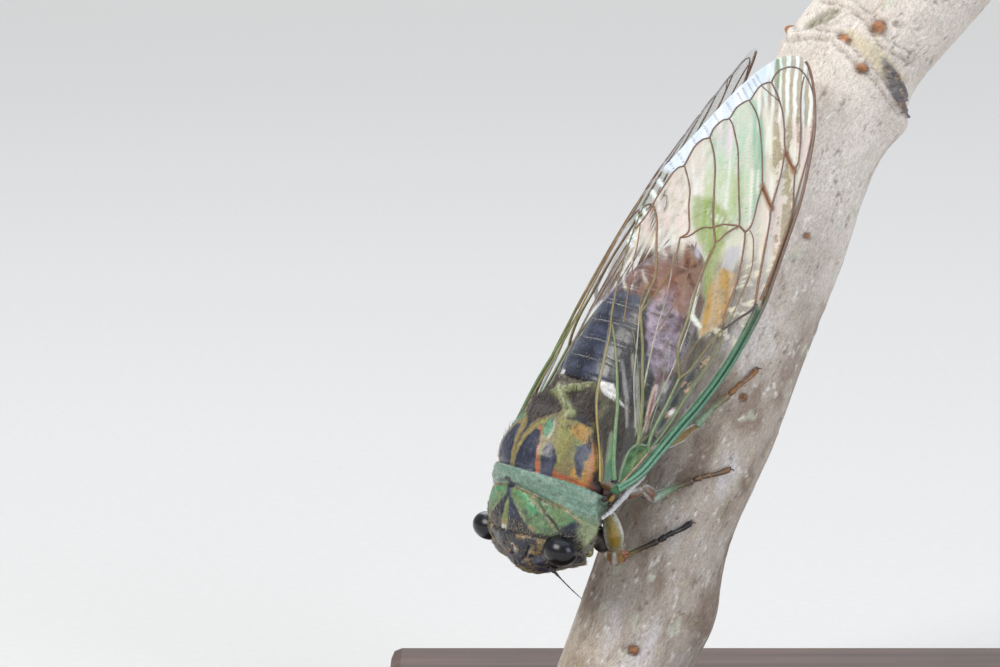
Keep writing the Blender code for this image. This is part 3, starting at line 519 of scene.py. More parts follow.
def thoraxRelief(x, y, z):
    # height in mm above the plain loft
    side = np.abs(y - thorax["midline"] * ease(z, 0.0, 2.0))
    upper = ease(z, -2.6, -1.2)
    front = ease(x - collarLine(y), -0.06, 0.09)
    height = (-0.24 * bump(x, thorax["collarFront"] + 0.03 * side, 0.15) * upper
              * (1.0 - 0.7 * ease(side, 4.4, 5.6)))
    for path in fissures:
        height -= 0.13 * stroke(x, side, path, 0.13) * upper * front
    height += (0.05 * np.sin(x * 9.0 + 3.0 * cloud(np.stack([x, y, z], -1), 1.2, 3)) * front
               * ease(x, 5.2, 5.6) * (1 - ease(x, 5.9, 6.1)) * upper * 0.5)
    height -= 0.10 * bump(side, 0.0, 0.10) * ease(x, 6.3, 6.8) * upper
    height += 0.16 * spot(x, side, (7.4, 2.3), (0.9, 0.9), 30, 0.7) * upper * front
    height += 0.12 * spot(x, side, (7.9, 3.6), (0.7, 0.6), 0, 0.6) * upper * front
    back = 1.0 - front
    arms = crossDistance(x, side)
    height += 0.30 * bump(arms, 0.0, 0.44) * back * upper
    height -= 0.34 * spot(x, side, (-1.35, 0.55), (0.55, 0.75), 0, 0.6) * back * upper
    height -= 0.45 * spot(x, side, (-2.9, 1.75), (0.75, 0.7), 0, 0.7) * back * upper
    height -= 0.25 * spot(x, side, (-4.4, 0.0), (0.35, 1.2), 0, 0.3) * back * upper
    height += 0.05 * bump(np.abs(side - 1.7 - 0.22 * x), 0.0, 0.35) * ease(x, 0.6, 1.6) * back * upper
    lower = 1.0 - ease(z, -2.4, -1.6)
    height += 0.16 * np.sin(x * 1.9 + 0.6) * lower * ease(side, 0.6, 1.8)
    height -= 0.20 * bump(side, 0.0, 0.35) * lower
    height -= 0.18 * bump(z, -2.3, 0.16) * ease(side, 3.0, 4.0)
    height += 0.13 * bump(z, -0.15, 0.28) * front * ease(side, 4.5, 5.4)
    height += 0.06 * cloud(np.stack([x, y, z], -1), 0.35, 7) * front * upper
    height += 0.035 * rough(np.stack([x, y, z], -1), 0.9, 5)
    return height


def thoraxPaint(points):
    # the markings, as they lie on the back seen from above
    grainy = shaken(points, 0.10, 0.4, 1)
    x, y = grainy.T[:2]
    side = np.abs(y - thorax["midline"])
    count = len(points)
    speckle = rough(points, 0.30, 9)
    dust = rough(points, 0.22, 19)
    veil = rough(points, 1.3, 21)
    pronotum = ease(points[:, 0] - collarLine(points[:, 1]), -0.04, 0.04)
    paint = coat("#6f8f7e", count)                                   # collar green
    brush(paint, "#86a78e", pronotum * ease(dust, 0.15, 0.5) * 0.35)
    brush(paint, "#4c6c56", pronotum * ease(-dust - 0.3 * veil, 0.15, 0.5) * 0.35)
    combed = rough(points, (0.30, 1.6, 0.5), 37)
    brush(paint, "#94a794", pronotum * ease(combed, 0.1, 0.5) * 0.5)
    brush(paint, "#587565", pronotum * ease(-combed, 0.2, 0.6) * 0.4)
    disc = ease(x, 6.05, 6.2) * pronotum
    brush(paint, "#5c8258", disc * 0.95)
    brush(paint, "#66804a", disc * ease(veil, -0.1, 0.4) * 0.65)
    brush(paint, "#35523a", disc * ease(-veil - 0.4 * speckle, 0.05, 0.5) * 0.6)
    brush(paint, "#489462", disc * stroke(x, side, backMarks["emerald"], 0.2))
    brush(paint, "#a89a7c", disc * ease(speckle + 0.2 * veil, 0.30, 0.55) * 0.45)
    brush(paint, "#4c3c26", disc * ease(-speckle, 0.30, 0.55) * 0.5)
    groove = ease(bump(x, 6.16 + 0.03 * side, 0.17), 0.3, 0.8) * ease(side, 0.5, 1.0) * pronotum
    groove = groove * (1.0 - 0.8 * ease(side, 4.2, 5.2))
    brush(paint, "#8a7348", groove * ease(speckle, -0.6, 0.1))
    brush(paint, "#3a2b1a", groove * ease(-speckle, 0.0, 0.4) * 0.8)
    tan = np.maximum.reduce([
        stroke(x, side, backMarks["tanFront"], 0.12),
        stroke(x, side, backMarks["tanMiddle"], 0.12),
        stroke(x, side, backMarks["tanSide"], 0.12)])
    brush(paint, "#a58f6e", tan * pronotum * ease(speckle, -0.2, 0.2))
    crack = stroke(x, side, backMarks["crack"], 0.06)
    brush(paint, "#2a1c12", crack * pronotum)
    wedge = patch(x, side, backMarks["wedge"], 0.09)
    black = np.maximum(wedge, stroke(x, side, backMarks["neck"], 0.12))
    black = np.maximum(black, patch(x, side, backMarks["corner"], 0.15))
    black = np.maximum(black, ease(x + 0.035 * side ** 2, 9.25, 9.40))
    brush(paint, "#161a2c", black * pronotum)
    brush(paint, "#333a5c", black * pronotum * ease(veil, 0.1, 0.6) * 0.7)
    brush(paint, "#8c7444", black * pronotum * ease(dust + 0.4 * ease(x, 8.7, 9.3), 0.80, 1.0))
    stripe = stroke(x, side, backMarks["stripe"], 0.07)
    brush(paint, "#7d8450", stripe * pronotum)
    brush(paint, "#a3865c", stripe * pronotum * ease(x, 8.7, 9.1))
    brush(paint, "#d5d6cc", stripe * pronotum * ease(x, 9.15, 9.3) * ease(dust, -0.5, 0.1))
    lobe = (pronotum * ease(np.abs(points[:, 1]), 5.35, 5.9) * bump(points[:, 2], 0.1, 1.1)
            * ease(x, 5.9, 6.5))
    brush(paint, "#a3b288", lobe * 0.9)
    # mesonotum
    rear = 1.0 - pronotum
    brush(paint, "#7c7046", rear)                            # olive
    brush(paint, "#7b8450", rear * ease(veil + 0.5 * ease(side, 1.5, 3.0), 0.3, 0.9) * 0.8)
    brush(paint, "#8c8048", rear * ease(dust, 0.1, 0.5) * 0.45)
    amber = np.maximum(patch(x, side, backMarks["amberInner"], 0.2),
                       patch(x, side, backMarks["amberEdge"], 0.15))
    brush(paint, "#ad8640", rear * amber)
    brush(paint, "#b8683a", rear * stroke(x, side, backMarks["ember"], 0.12) * 0.8)
    rust = np.maximum(stroke(x, side, backMarks["rust"], 0.18),
                      spot(x, side, (4.0, 3.9), (0.35, 0.28), 0, 0.15))
    brush(paint, "#a8502c", rear * rust * (0.5 + 0.5 * ease(speckle, -0.5, 0.1)))
    brush(paint, "#8d8a40", rear * patch(x, side, backMarks["moss"], 0.3) * 0.6)
    brush(paint, "#56906a", rear * patch(x, side, backMarks["leaf"], 0.12))
    brush(paint, "#b9bfae", rear * stroke(x, side, backMarks["frost"], 0.10) * 0.7)
    yellow = stroke(x, side, backMarks["yellow"], 0.05)
    brush(paint, "#9c8848", rear * yellow)
    brush(paint, "#9aa050", rear * yellow * ease(side, 0.75, 1.2))
    rim = stroke(x, side, backMarks["rim"], 0.05)
    brush(paint, "#b0603a", rear * rim)
    inner = patch(x, side, backMarks["inner"], 0.05)
    outer = patch(x, side, backMarks["outer"], 0.06)
    lateral = patch(x, side, backMarks["lateral"], 0.07)
    slit = stroke(x, side, backMarks["slit"], 0.05)
    spots = np.maximum.reduce([inner, outer, lateral, slit]) * rear
    brush(paint, "#20253a", spots)
    # painted sheen: a bluish-grey highlight laid over parts of the dark spots
    brush(paint, "#5d647c", spots * ease(rough(points, (1.2, 0.5, 0.5), 31), -0.1, 0.6) * 0.42)
    lean = y - thorax["midline"]
    sooty = np.maximum.reduce([
        patch(x, lean, backMarks["sootBack"], 0.12),
        patch(x, side, backMarks["sootSide"], 0.14)])
    brush(paint, "#1c1b22", sooty * rear)
    brush(paint, "#5f4c3c", sooty * rear * ease(dust + 0.4 * veil, 0.05, 0.5) * 0.8)
    brush(paint, "#20263a", rear * stroke(x, side, backMarks["comma"], 0.1))
    arms = crossDistance(x, side)
    ridge = rear * (1.0 - ease(arms + 0.12 * speckle, 0.30, 0.50)) * ease(lean, -0.9, -0.2)
    brush(paint, "#7f8850", ridge)
    brush(paint, "#aaa98a", ridge * bump(arms, 0.20, 0.10) * ease(speckle, -0.3, 0.3) * 0.5)
    tail = rear * (1.0 - ease(x + 0.2 * veil, -3.5, -3.0)) * (1.0 - sooty)
    brush(paint, "#767548", tail * 0.8)
    brush(paint, "#5a4a38", tail * ease(veil + 0.5 * dust, -0.1, 0.4) * 0.7)
    # flank and under side, dark below the wing hinge and dusted with pale wax further down
    height = points[:, 2] + 0.2 * veil
    flank = rear * ease(np.abs(points[:, 1]), 4.3, 4.9) * (1.0 - ease(height, 1.6, 2.6))
    brush(paint, "#241c18", flank)
    brush(paint, "#5e4a36", flank * ease(speckle, 0.1, 0.5) * 0.8)
    hingeRed = (rear * spot(points[:, 0], points[:, 2], (3.6, 1.2), (1.2, 0.8), 0, 0.4)
                * ease(np.abs(points[:, 1]), 4.6, 5.2))
    brush(paint, "#7a3a22", hingeRed * 0.8)
    # painted shade: the sides of the thorax behind and beside the wing roots, under the wings, are
    # darkened and lightly mottled
    behind = (rear * ease(np.abs(points[:, 1]) - 0.22 * points[:, 0], 4.30, 4.55)
              * ease(-points[:, 0], -1.0, 0.4))
    beside = rear * ease(side - 0.06 * x, 5.58, 5.72)
    shade = np.maximum(behind, beside) * (1.0 - ease(points[:, 2], 3.6, 4.4))
    brush(paint, "#231f1d", shade)
    brush(paint, "#5c4c3c", shade * ease(dust + 0.5 * veil, 0.15, 0.5) * 0.7)
    wax = waxPatch(points, speckle)
    brush(paint, "#fbfaf6", wax)
    low = 1.0 - ease(points[:, 2] + 0.25 * veil, -2.0, -1.0)
    brush(paint, "#332c24", low)
    brush(paint, "#b3ad9a", low * ease(speckle + 0.6 * veil, -0.3, 0.5) * 0.85)
    shine = (0.5 + 0.4 * spots - 0.45 * sooty * rear - 0.3 * low - 0.25 * tan * pronotum
             - 0.4 * wax + 0.15 * black)
    return paint, np.clip(shine, 0.0, 1.0)


def crossDistance(x, side):
    # distance to the raised cross at the back of the thorax
    return np.minimum(lineDistance(x, side, (thorax["crossCentre"], thorax["crossFront"]))[0],
                      lineDistance(x, side, (thorax["crossCentre"], thorax["crossRear"]))[0])


def waxPatch(points, speckle):
    # the white waxy patch where the thorax meets the abdomen, with a tail running down its side
    across = np.degrees(np.arctan2(points[:, 2] + 0.3, np.abs(points[:, 1]))) / arcUnit
    across = across + 0.12 * cloud(points, 0.5, 23)
    shape = patch(points[:, 0], across, backMarks["wax"], 0.10)
    tail = stroke(points[:, 0], across, backMarks["waxTail"], 0.06)
    return np.maximum(shape, tail) * ease(speckle, -1.1, -0.6)


def makeThorax():
    places = spread((9.62, 9.3, 6.4, 4.5, 1.0, -4.2, -4.75), (0.06, 0.075, 0.05, 0.075, 0.075, 0.06))
    grid = sweptBack(sectionGrid(thorax["sections"], places, thorax["columns"]))
    edge = np.interp(grid[..., 0], *np.array(thorax["overhang"]).T)
    below = edge - grid[..., 2]
    front = ease(grid[..., 0], 3.6, 4.4)
    tuck = 0.13 * ease(below, 0.0, 0.8) * front + 0.11 * ease(below, 0.4, 2.4)
    grid[..., 1] *= 1.0 - tuck              # the edge of the back overhangs the under side
    height = thoraxRelief(grid[..., 0], grid[..., 1], grid[..., 2])
    body = gridBody(grid + gridNormals(grid) * height[..., None])
    body["paint"], body["shine"] = thoraxPaint(body["points"])
    return addPiece("thorax_shell", body, thoraxChitin,
                    ("pronotum", "mesonotum", "thorax_under"))


makeThorax()
print("thorax made")


# Head

head = {
    "sections": ((11.42, 0.30, 0.00, -1.00, 2.0), (11.40, 1.00, 0.35, -1.7, 2.0),
        (11.20, 2.35, 1.20, -2.8, 2.0), (10.80, 3.80, 2.05, -3.7, 2.0),
        (10.30, 4.70, 2.85, -4.2, 2.0), (9.75, 5.05, 3.40, -4.3, 2.0), (9.30, 4.95, 3.30, -4.25, 2.0),
        (8.9, 4.6, 3.0, -4.0, 2.0)),
    "columns": 300,
    "eye": (9.35, 4.72, 1.25), "eyeRadii": (1.28, 1.62, 1.38),
    "noseCentre": (9.35, 0.0, -1.35), "noseRadii": (2.30, 2.10, 2.70),
    "faceTop": 0.45, "faceFoot": 4.0,       # mm below the middle, where the face slopes back
    "ocelli": ((10.88, 0.0, 1.98), (10.45, 0.62, 2.60), (10.45, -0.62, 2.60)),
    "ocellus": 0.20, "ribGap": 0.42,
    "frons": ((0.6, 1.0, 0.08), (1.6, 1.5, 0.10), (2.4, 2.4, 0.08)),
    "brow": ((9.2, 3.9, 0.34), (9.35, 2.9, 0.26), (9.7, 1.7, 0.16), (9.8, 0.9, 0.06)),
    "shelf": ((9.9, 3.5, 0.26), (10.15, 2.8, 0.22), (10.5, 2.1, 0.10)),
}


def headRelief(p):
    y, z = p[..., 1], p[..., 2]
    side = np.abs(y)
    height = 0.045 * rough(p, 0.45, 12) + 0.05 * rough(p, 1.1, 16)
    nose = spot(y, z, (0.0, -1.7), (2.0, 2.4), 0, 0.7)
    height += nose * (0.14 + 0.07 * np.cos(z * 2.0 * np.pi / head["ribGap"]) * ease(side, 0.25, 0.5))
    height -= 0.10 * bump(side, 0.0, 0.14) * nose
    ledge = spot(side, z, (3.1, 0.75), (1.1, 0.55), -8, 0.3)
    height += 0.22 * ledge
    height -= 0.16 * spot(side, z, (3.35, 0.05), (0.45, 0.3), 0, 0.2)
    height -= 0.10 * stroke(side, z, head["frons"], 0.12)
    height -= 0.08 * bump(side, 0.0, 0.08) * ease(z, 2.1, 2.5)
    for centre in head["ocelli"]:
        reach = np.sqrt(((p - np.array(centre)) ** 2).sum(-1))
        height += 0.10 * bump(reach, 0.0, 0.50) - 0.06 * bump(reach, 0.36, 0.09)
    return height


def outsideOf(p, centre, radii, soft):
    # pushes points out to an ellipsoid's skin where they lie inside it, with a soft fillet
    q = (p - np.array(centre)) / np.array(radii)
    reach = np.linalg.norm(q, axis=-1, keepdims=True)
    lift = np.maximum(0.0, 1.0 - reach)
    lift = lift + soft * np.exp(-np.abs(1.0 - reach) / soft) * 0.35
    return p + q / np.maximum(reach, 1e-6) * lift * np.array(radii)


def headPaint(points):
    x, y, z = shaken(points, 0.14, 0.35, 4).T
    side = np.abs(y)
    count = len(points)
    speckle = rough(points, 0.28, 14)
    patchy = rough(points, 0.9, 18)
    paint = coat("#12172a", count)
    brush(paint, "#2c3352", ease(patchy, 0.0, 0.6) * 0.8)
    brush(paint, "#0c0d14", ease(-patchy - 0.3 * speckle, 0.1, 0.5) * 0.7)
    tawny = np.maximum.reduce([
        stroke(x, side, head["brow"], 0.16) * ease(z, 1.2, 1.8),
        stroke(x, side, head["shelf"], 0.14) * ease(z, 0.8, 1.3),
        spot(x, side, (11.1, 1.7), (0.28, 0.50), 0, 0.15) * ease(z, 0.0, 0.4),
        spot(x, side, (10.55, 1.15), (0.14, 0.30), 30, 0.1) * ease(z, 1.0, 1.6),
        spot(side, z, (0.0, 2.2), (0.14, 0.45), 0, 0.08)])
    brush(paint, "#8f7040", tawny * ease(speckle + 0.5 * patchy, -0.25, 0.25))
    brush(paint, "#b0986a", tawny * ease(speckle, 0.2, 0.5) * 0.8)
    brush(paint, "#5f4a30", ease(rough(points, 0.2, 24), 0.6, 0.85) * 0.4)
    bars = (ease(np.cos(z * 2.0 * np.pi / head["ribGap"]), 0.25, 0.7)
            * spot(side, z, (1.25, -1.8), (0.75, 2.1), 0, 0.25))
    brush(paint, "#8a6a40", bars)
    brush(paint, "#9c8a5c", spot(side, z, (0.0, -0.1), (0.45, 0.35), 0, 0.15))
    cheek = spot(side, z, (3.3, -2.0), (1.3, 1.3), 20, 0.5)
    brush(paint, "#a39b86", cheek * ease(speckle, -0.4, 0.5) * 0.9)
    socket = np.array(head["eye"])
    mirrored = np.stack([points[:, 0], np.abs(points[:, 1]), points[:, 2]], -1)
    reach = np.linalg.norm((mirrored - socket) / np.array(head["eyeRadii"]), axis=-1)
    rim = bump(reach, 1.02, 0.07) * ease(socket[0] + 0.4 - points[:, 0], -0.3, 0.3)
    brush(paint, "#98a48a", rim * 0.85)
    glint = spot(x, y, (10.54, 0.70), (0.22, 0.18), 0, 0.06) * ease(z, 1.6, 2.0)
    brush(paint, "#f2f2f2", glint * 0.9)
    shine = 0.8 - 0.45 * tawny - 0.5 * cheek + 0.1 * speckle
    return paint, np.clip(shine, 0.0, 1.0)


def makeHead():
    places = spread((11.42, 11.3, 10.6, 9.5, 8.9), (0.03, 0.045, 0.06, 0.1))
    grid = sweptBack(sectionGrid(head["sections"], places, head["columns"]))
    grid = outsideOf(grid, head["noseCentre"], head["noseRadii"], 0.10)
    grid = grid + gridNormals(grid) * headRelief(grid)[..., None]
    slope = ease(-grid[..., 2], head["faceTop"], head["faceFoot"])
    grid[..., 0] -= slope * np.maximum(grid[..., 0] - 8.85, 0.0) * 0.95
    for side in sides.values():
        eye = np.array(head["eye"]) * (1.0, side, 1.0)
        grid = outsideOf(grid, eye, np.array(head["eyeRadii"]) * 0.94, 0.10)
    body = gridBody(grid)
    body["paint"], body["shine"] = headPaint(body["points"])
    return addPiece("head_shell", body, headChitin, ("head",))


def eyeFinish():
    # compound eye: thousands of lenses read as a deep polished black with a soft inner glow
    material, tree, shader = newMaterial("compound eye lenses")
    place = insectPlace(tree)
    lenses = addNode(tree, "ShaderNodeTexVoronoi", {}, {"Vector": place, "Scale": 1.0 / 0.05})
    depth = addNode(tree, "ShaderNodeTexNoise", {}, {"Vector": place, "Scale": 0.8, "Detail": 2.0})
    colour = addNode(tree, "ShaderNodeMix", {"data_type": "RGBA"}, {
        0: depth, 6: rgba("#06070a"), 7: rgba("#101218")})
    relief = addNode(tree, "ShaderNodeBump", {}, {
        "Height": lenses, "Strength": 0.12, "Distance": 0.01 * mm})
    connect(tree, shader, {"Base Color": colour.outputs[2], "Normal": relief, "Roughness": 0.30,
        "IOR": 1.5, "Specular IOR Level": 0.05, "Coat Weight": 0.9, "Coat Roughness": 0.23})
    return material


def ellipsoidBody(centre, radii, rows=24, columns=36):
    # its poles are along the first axis
    angle = np.linspace(0.0, np.pi, rows + 2)[1:-1]
    around = 2.0 * np.pi * np.arange(columns) / columns
    grid = np.stack([np.cos(angle)[:, None] * np.ones(columns),
                     np.sin(angle)[:, None] * np.cos(around),
                     np.sin(angle)[:, None] * np.sin(around)], -1)
    body = gridBody(grid * np.array(radii) + np.array(centre))
    for pole, sign in ((-2, 1.0), (-1, -1.0)):
        body["points"][pole] = np.array(centre) + (radii[0] * sign, 0.0, 0.0)
    return body


def makeEyes():
    lens = eyeFinish()
    for label, side in sides.items():
        centre = np.array(head["eye"]) * (1.0, side, 1.0)
        body = ellipsoidBody(centre, np.array(head["eyeRadii"]) * (1.0 if side > 0 else 0.93), 60, 90)
        addPiece("eye_globe_" + label.lower(), body, lens, ("eye_" + label.lower(),))


def makeOcelli():
    # three small simple eyes, like drops of amber
    material, tree, shader = newMaterial("ocellus cornea")
    connect(tree, shader, {"Base Color": rgba("#5a2a1c"), "Roughness": 0.08,
        "Coat Weight": 1.0, "Subsurface Weight": 0.3, "Subsurface Scale": 0.2 * mm})
    drops = [ellipsoidBody(centre, [head["ocellus"]] * 3, 14, 20) for centre in head["ocelli"]]
    addPiece("ocelli", joined(drops), material)


makeHead()
makeEyes()
makeOcelli()
print("head made")


# Abdomen

abdomen = {
    "sections": ((-4.30, 4.45, 3.70, -4.20, 2.1), (-4.80, 4.85, 4.05, -4.50, 2.1),
        (-6.40, 4.98, 4.12, -4.66, 2.1), (-8.00, 4.80, 4.02, -4.72, 2.1),
        (-11.50, 4.52, 3.58, -4.58, 2.1), (-15.00, 3.82, 2.60, -3.88, 2.0),
        (-18.00, 2.35, 1.00, -2.90, 2.0), (-19.30, 1.20, -0.05, -2.20, 2.0),
        (-19.62, 0.60, -0.50, -1.80, 2.0)),
    "ringStart": -4.80, "ringEnd": -18.9, "rings": 8, "step": 0.08,
    "columns": 260,
    "blotches": (                           # on the flank: x and angle / 12, half sizes, colour
        ((-12.9, 3.2), (0.45, 0.38), "#54494f"), ((-11.4, 1.95), (0.50, 0.32), "#6e4238"),
        ((-9.3, 1.6), (0.34, 0.62), "#776468"), ((-7.9, 1.05), (0.26, 0.50), "#86726e"),
        ((-12.6, -0.6), (0.9, 0.40), "#63302f"), ((-13.4, 0.7), (0.7, 0.45), "#7a4038")),
    "crest": ((-10.9, 1.15, 0.02), (-8.9, 0.2, 0.05), (-6.8, -1.07, 0.03)),
}


def ringShare(x):
    # how far along its own ring a place lies, 0 at the ring's front edge
    share = (abdomen["ringStart"] - x) / (abdomen["ringStart"] - abdomen["ringEnd"]) * abdomen["rings"]
    return np.clip(share, 0.0, abdomen["rings"] - 1e-6) % 1.0


def abdomenRelief(p):
    x, y, z = p[..., 0], p[..., 1], p[..., 2]
    t = ringShare(x + 0.12 * cloud(p, 1.6, 8))
    height = (abdomen["step"] * (0.7 * ease(t, 0.0, 0.5) + 0.3 * ease(t, 0.45, 0.9))
              * (1.0 - ease(t, 0.955, 0.998)))
    height -= 0.05 * bump(t, 0.22, 0.05)
    height += 0.035 * rough(p, (0.5, 1.2, 1.2), 17)
    flank = ease(np.abs(y), 3.2, 3.8)
    height -= 0.14 * bump(z, -1.9, 0.16) * flank * ease(-x, 6.2, 7.0) * (1 - ease(-x, 16.0, 17.5))
    cover = spot(x, z, (-5.75, 1.25), (0.95, 1.35), -12, 0.22) * ease(np.abs(y), 2.6, 3.2)
    height += 0.20 * cover - 0.10 * bump(cover, 0.5, 0.22)
    height += 0.03 * np.sin((z - 0.2 * x) * 9.0) * cover
    height -= 0.08 * bump(np.abs(y), 0.0, 0.10) * (z < 0)
    return height


def abdomenPaint(points):
    p = shaken(points, 0.12, 0.6, 31)
    x, y, z = p.T
    count = len(points)
    angle = np.degrees(np.arctan2(z + 0.3, np.abs(y)))               # 0 on the flank, 90 on the back
    t = ringShare(x)
    veil = rough(points, (1.6, 1.1, 1.1), 41)
    speckle = rough(points, 0.25, 43)
    paint = coat("#171a26", count)
    brush(paint, "#2e3449", ease(veil, -0.2, 0.6) * 0.8)
    # painted highlight: a soft blue-grey band across the middle of each ring, high on its side
    brush(paint, "#50576f", bump(t, 0.45, 0.22) * ease(angle, 38, 60) * ease(veil, -0.4, 0.3) * 0.55)
    brush(paint, "#2a2426", ease(t, 0.86, 0.95) * 0.55)
    high = np.interp(x, (-13.0, -11.6, -8.6, -6.7), (52.0, 47.0, 27.0, 5.0)) - 6.0 * veil
    low = np.interp(x, (-13.0, -10.2, -8.5, -6.7), (9.0, -1.0, -10.0, -12.0))
    bloom = ease(angle - low, -4.0, 2.0) * (1.0 - ease(angle - high, -4.0, 3.0))
    bloom *= ease(-x, 5.6, 6.6) * (1.0 - ease(-x + veil, 14.2, 15.6))
    bloom *= 0.55 + 0.45 * ease(speckle, -0.5, 0.3)
    brush(paint, "#ccb3cb", bloom * 0.95)
    brush(paint, "#e4cdd0", bloom * ease(veil, 0.0, 0.5) * 0.8)
    blocks = bump((t * 2.0) % 1.0, 0.5, 0.42) * ease(np.cos(angle * 0.42 + 3.0 * ringShare(x)), -0.4, 0.3)
    brush(paint, "#ddd0e0", bloom * blocks * 0.55)
    bars = bump(t, 0.16, 0.10) * ease(veil + 0.4 * speckle, -0.25, 0.2)
    brush(paint, "#4a3638", bloom * bars * 0.85)
    dots = bump(angle + 6 * veil, 24.0, 5.0) * bump(t, 0.45, 0.26)
    brush(paint, "#5a4246", ease(dots, 0.35, 0.7) * bloom * ease(speckle, -0.7, 0.1))
    for centre, size, tone in abdomen["blotches"]:
        brush(paint, tone, spot(x, angle / arcUnit, centre, size, 20, 0.18)
              * ease(speckle, -0.9, -0.1) * 0.85)
    crest = stroke(x, angle / arcUnit, abdomen["crest"], 0.08)
    brush(paint, "#dfe0ea", crest * ease(speckle, -0.8, 0.0) * 0.7)
    stripes = ease(rough(points, (2.4, 0.5, 0.5), 49), 0.15, 0.45) * ease(-x + veil, 5.5, 6.5)
    brush(paint, "#7a4038", stripes * ease(angle, -14, -4) * (1.0 - ease(angle, 8, 18)) * 0.75)
    lowBloom = bump(angle, -13.0, 12.0) * ease(-x, 8.5, 9.5) * (1.0 - ease(-x + veil, 14.0, 15.4))
    brush(paint, "#b5a3ab", lowBloom * ease(speckle + veil, -0.4, 0.3) * 0.8)
    beads = bump(angle, -9.0, 5.0) * ease(np.cos(2 * np.pi * t), -0.2, 0.4) * ease(-x, 5.2, 6.0)
    brush(paint, "#23232c", beads * 0.9)
    brown = ease(-x + 0.8 * veil, 13.2, 15.0)
    brush(paint, "#a05c38", brown * (0.55 + 0.45 * ease(veil, -0.3, 0.4)))
    brush(paint, "#a38a8e", brown * ease(rough(points, 0.8, 47), 0.25, 0.6) * 0.45)
    wax = np.maximum(waxPatch(points, speckle),
                     spot(x, angle / arcUnit, (-7.1, -0.6), (0.50, 0.50), 0, 0.2)
                     * ease(speckle, -0.9, -0.2))
    brush(paint, "#fbfaf6", wax)
    under = 1.0 - ease(angle, -30, -16)
    brush(paint, "#4b382a", under)
    brush(paint, "#a8987c", under * ease(np.abs(angle + 42), 4, 14) * ease(veil, -0.6, 0.3) * 0.75)
    brush(paint, "#2a2019", (1.0 - ease(np.abs(y), 0.9, 1.5)) * (z < 0))
    shine = 0.92 - 0.75 * bloom - 0.9 * wax - 0.45 * under - 0.2 * brown
    return paint, np.clip(shine, 0.0, 1.0)


def makeAbdomen():
    places = spread((-4.30, -4.9, -18.9, -19.62), (0.06, 0.062, 0.05))
    grid = sectionGrid(abdomen["sections"], places, abdomen["columns"])
    grid = grid + gridNormals(grid) * (abdomenRelief(grid) * ease(-grid[..., 0], 4.5, 4.9))[..., None]
    body = gridBody(grid)
    body["paint"], body["shine"] = abdomenPaint(body["points"])
    addPiece("abdomen_shell", body, abdomenChitin, ("abdomen",))


waxyChitin = shellMaterial("waxy plate", 0.30, 0.08, 0.45, 0.75, 0.1)


def plateBody(centre, radii, squareness=2.3, dome=0.35):
    # a thin rounded plate whose broad faces look up and down
    rows, columns = 26, 48
    angle = np.linspace(0.02, math.pi - 0.02, rows)
    around = 2.0 * np.pi * np.arange(columns) / columns
    flat = np.sin(angle)[:, None] ** (2.0 / squareness)
    x = flat * np.sign(np.cos(around)) * np.abs(np.cos(around)) ** (2.0 / squareness)
    y = flat * np.sign(np.sin(around)) * np.abs(np.sin(around)) ** (2.0 / squareness)
    z = np.sign(np.cos(angle)) * np.abs(np.cos(angle)) ** 0.8
    z = z[:, None] + dome * (x ** 2 + y ** 2)
    return gridBody(np.stack([x, y, z], -1) * np.array(radii) + np.array(centre))


def makeOpercula():
    for label, side in sides.items():
        body = plateBody((-6.55, 1.62 * side, -5.22), (1.93, 1.20, 0.28))
        speckle = rough(body["points"], 0.4, 51)
        body["paint"] = brush(coat("#8a8a63", len(speckle)), "#d8d4c2", ease(speckle, -0.4, 0.4) * 0.8)
        body["shine"] = 0.5 - 0.4 * ease(speckle, -0.4, 0.4)
        addPiece("sound_plate_" + label.lower(), body, waxyChitin,
                 ("operculum_" + label.lower(),))


makeAbdomen()
makeOpercula()
print("abdomen made")


# Legs, antennae and rostrum

perch = {
    "pitch": 7.2, "yaw": 1.8, "depth": 13.6, "radius": 5.5, "cutLevel": 7.0, "lower": 21.0,
    "node": -39.2, "bend": 19.0, "bendToward": 223.5, "upperLength": 14.5,
    "swellings": ((9.6, 223, 0.55, 3.0), (2, 235, -0.70, 5.0), (-37, 222, 1.10, 2.6),
        (-50, 43, 1.80, 6.0), (-33, 150, 0.35, 4.0), (-22, 200, 0.30, 5.0)),
    "nodeSwelling": 0.40, "nodeReach": 3.2, "upperSwelling": 0.45, "upperReach": 12.0,
    "swellingTurn": 42.0,                   # degrees round the branch
}
legs = {                                    # knee, ankle, toe: down the branch, degrees round it, mm above
    "fore": {"root": (6.2, 2.9), "knee": (8.15, -13, 1.75), "ankle": (5.1, -37, 1.0),
        "toe": (2.7, -56, 0.30),
             "coxa": ((4.15, 3.9, -2.0), (4.75, 4.45, -2.5), (5.7, 4.45, -3.6), (6.55, 3.75, -5.0)),
             "coxaWidth": (0.35, 0.80, 0.98, 0.82, 0.50), "femur": (0.80, 0.95, 0.60),
                 "tibia": (0.44, 0.32)},
    "mid": {"root": (1.7, 3.2), "knee": (2.0, -22, 1.45), "ankle": (-0.8, -46, 0.95),
        "toe": (-2.8, -72, 0.30),
            "coxa": ((1.7, 2.9, -3.4), (1.6, 3.7, -3.8), (1.0, 4.35, -4.3)),
            "coxaWidth": (0.80, 0.85, 0.55), "femur": (0.62, 0.74, 0.46), "tibia": (0.50, 0.38)},
    "hind": {"root": (-2.3, 3.2), "knee": (-5.2, -34, 1.35), "ankle": (-8.7, -49, 0.95),
        "toe": (-11.6, -64, 0.30),
             "coxa": ((-2.3, 2.9, -3.5), (-2.5, 3.6, -3.9), (-3.2, 4.15, -4.4)),
             "coxaWidth": (0.80, 0.82, 0.52), "femur": (0.58, 0.66, 0.42), "tibia": (0.44, 0.34)},
}


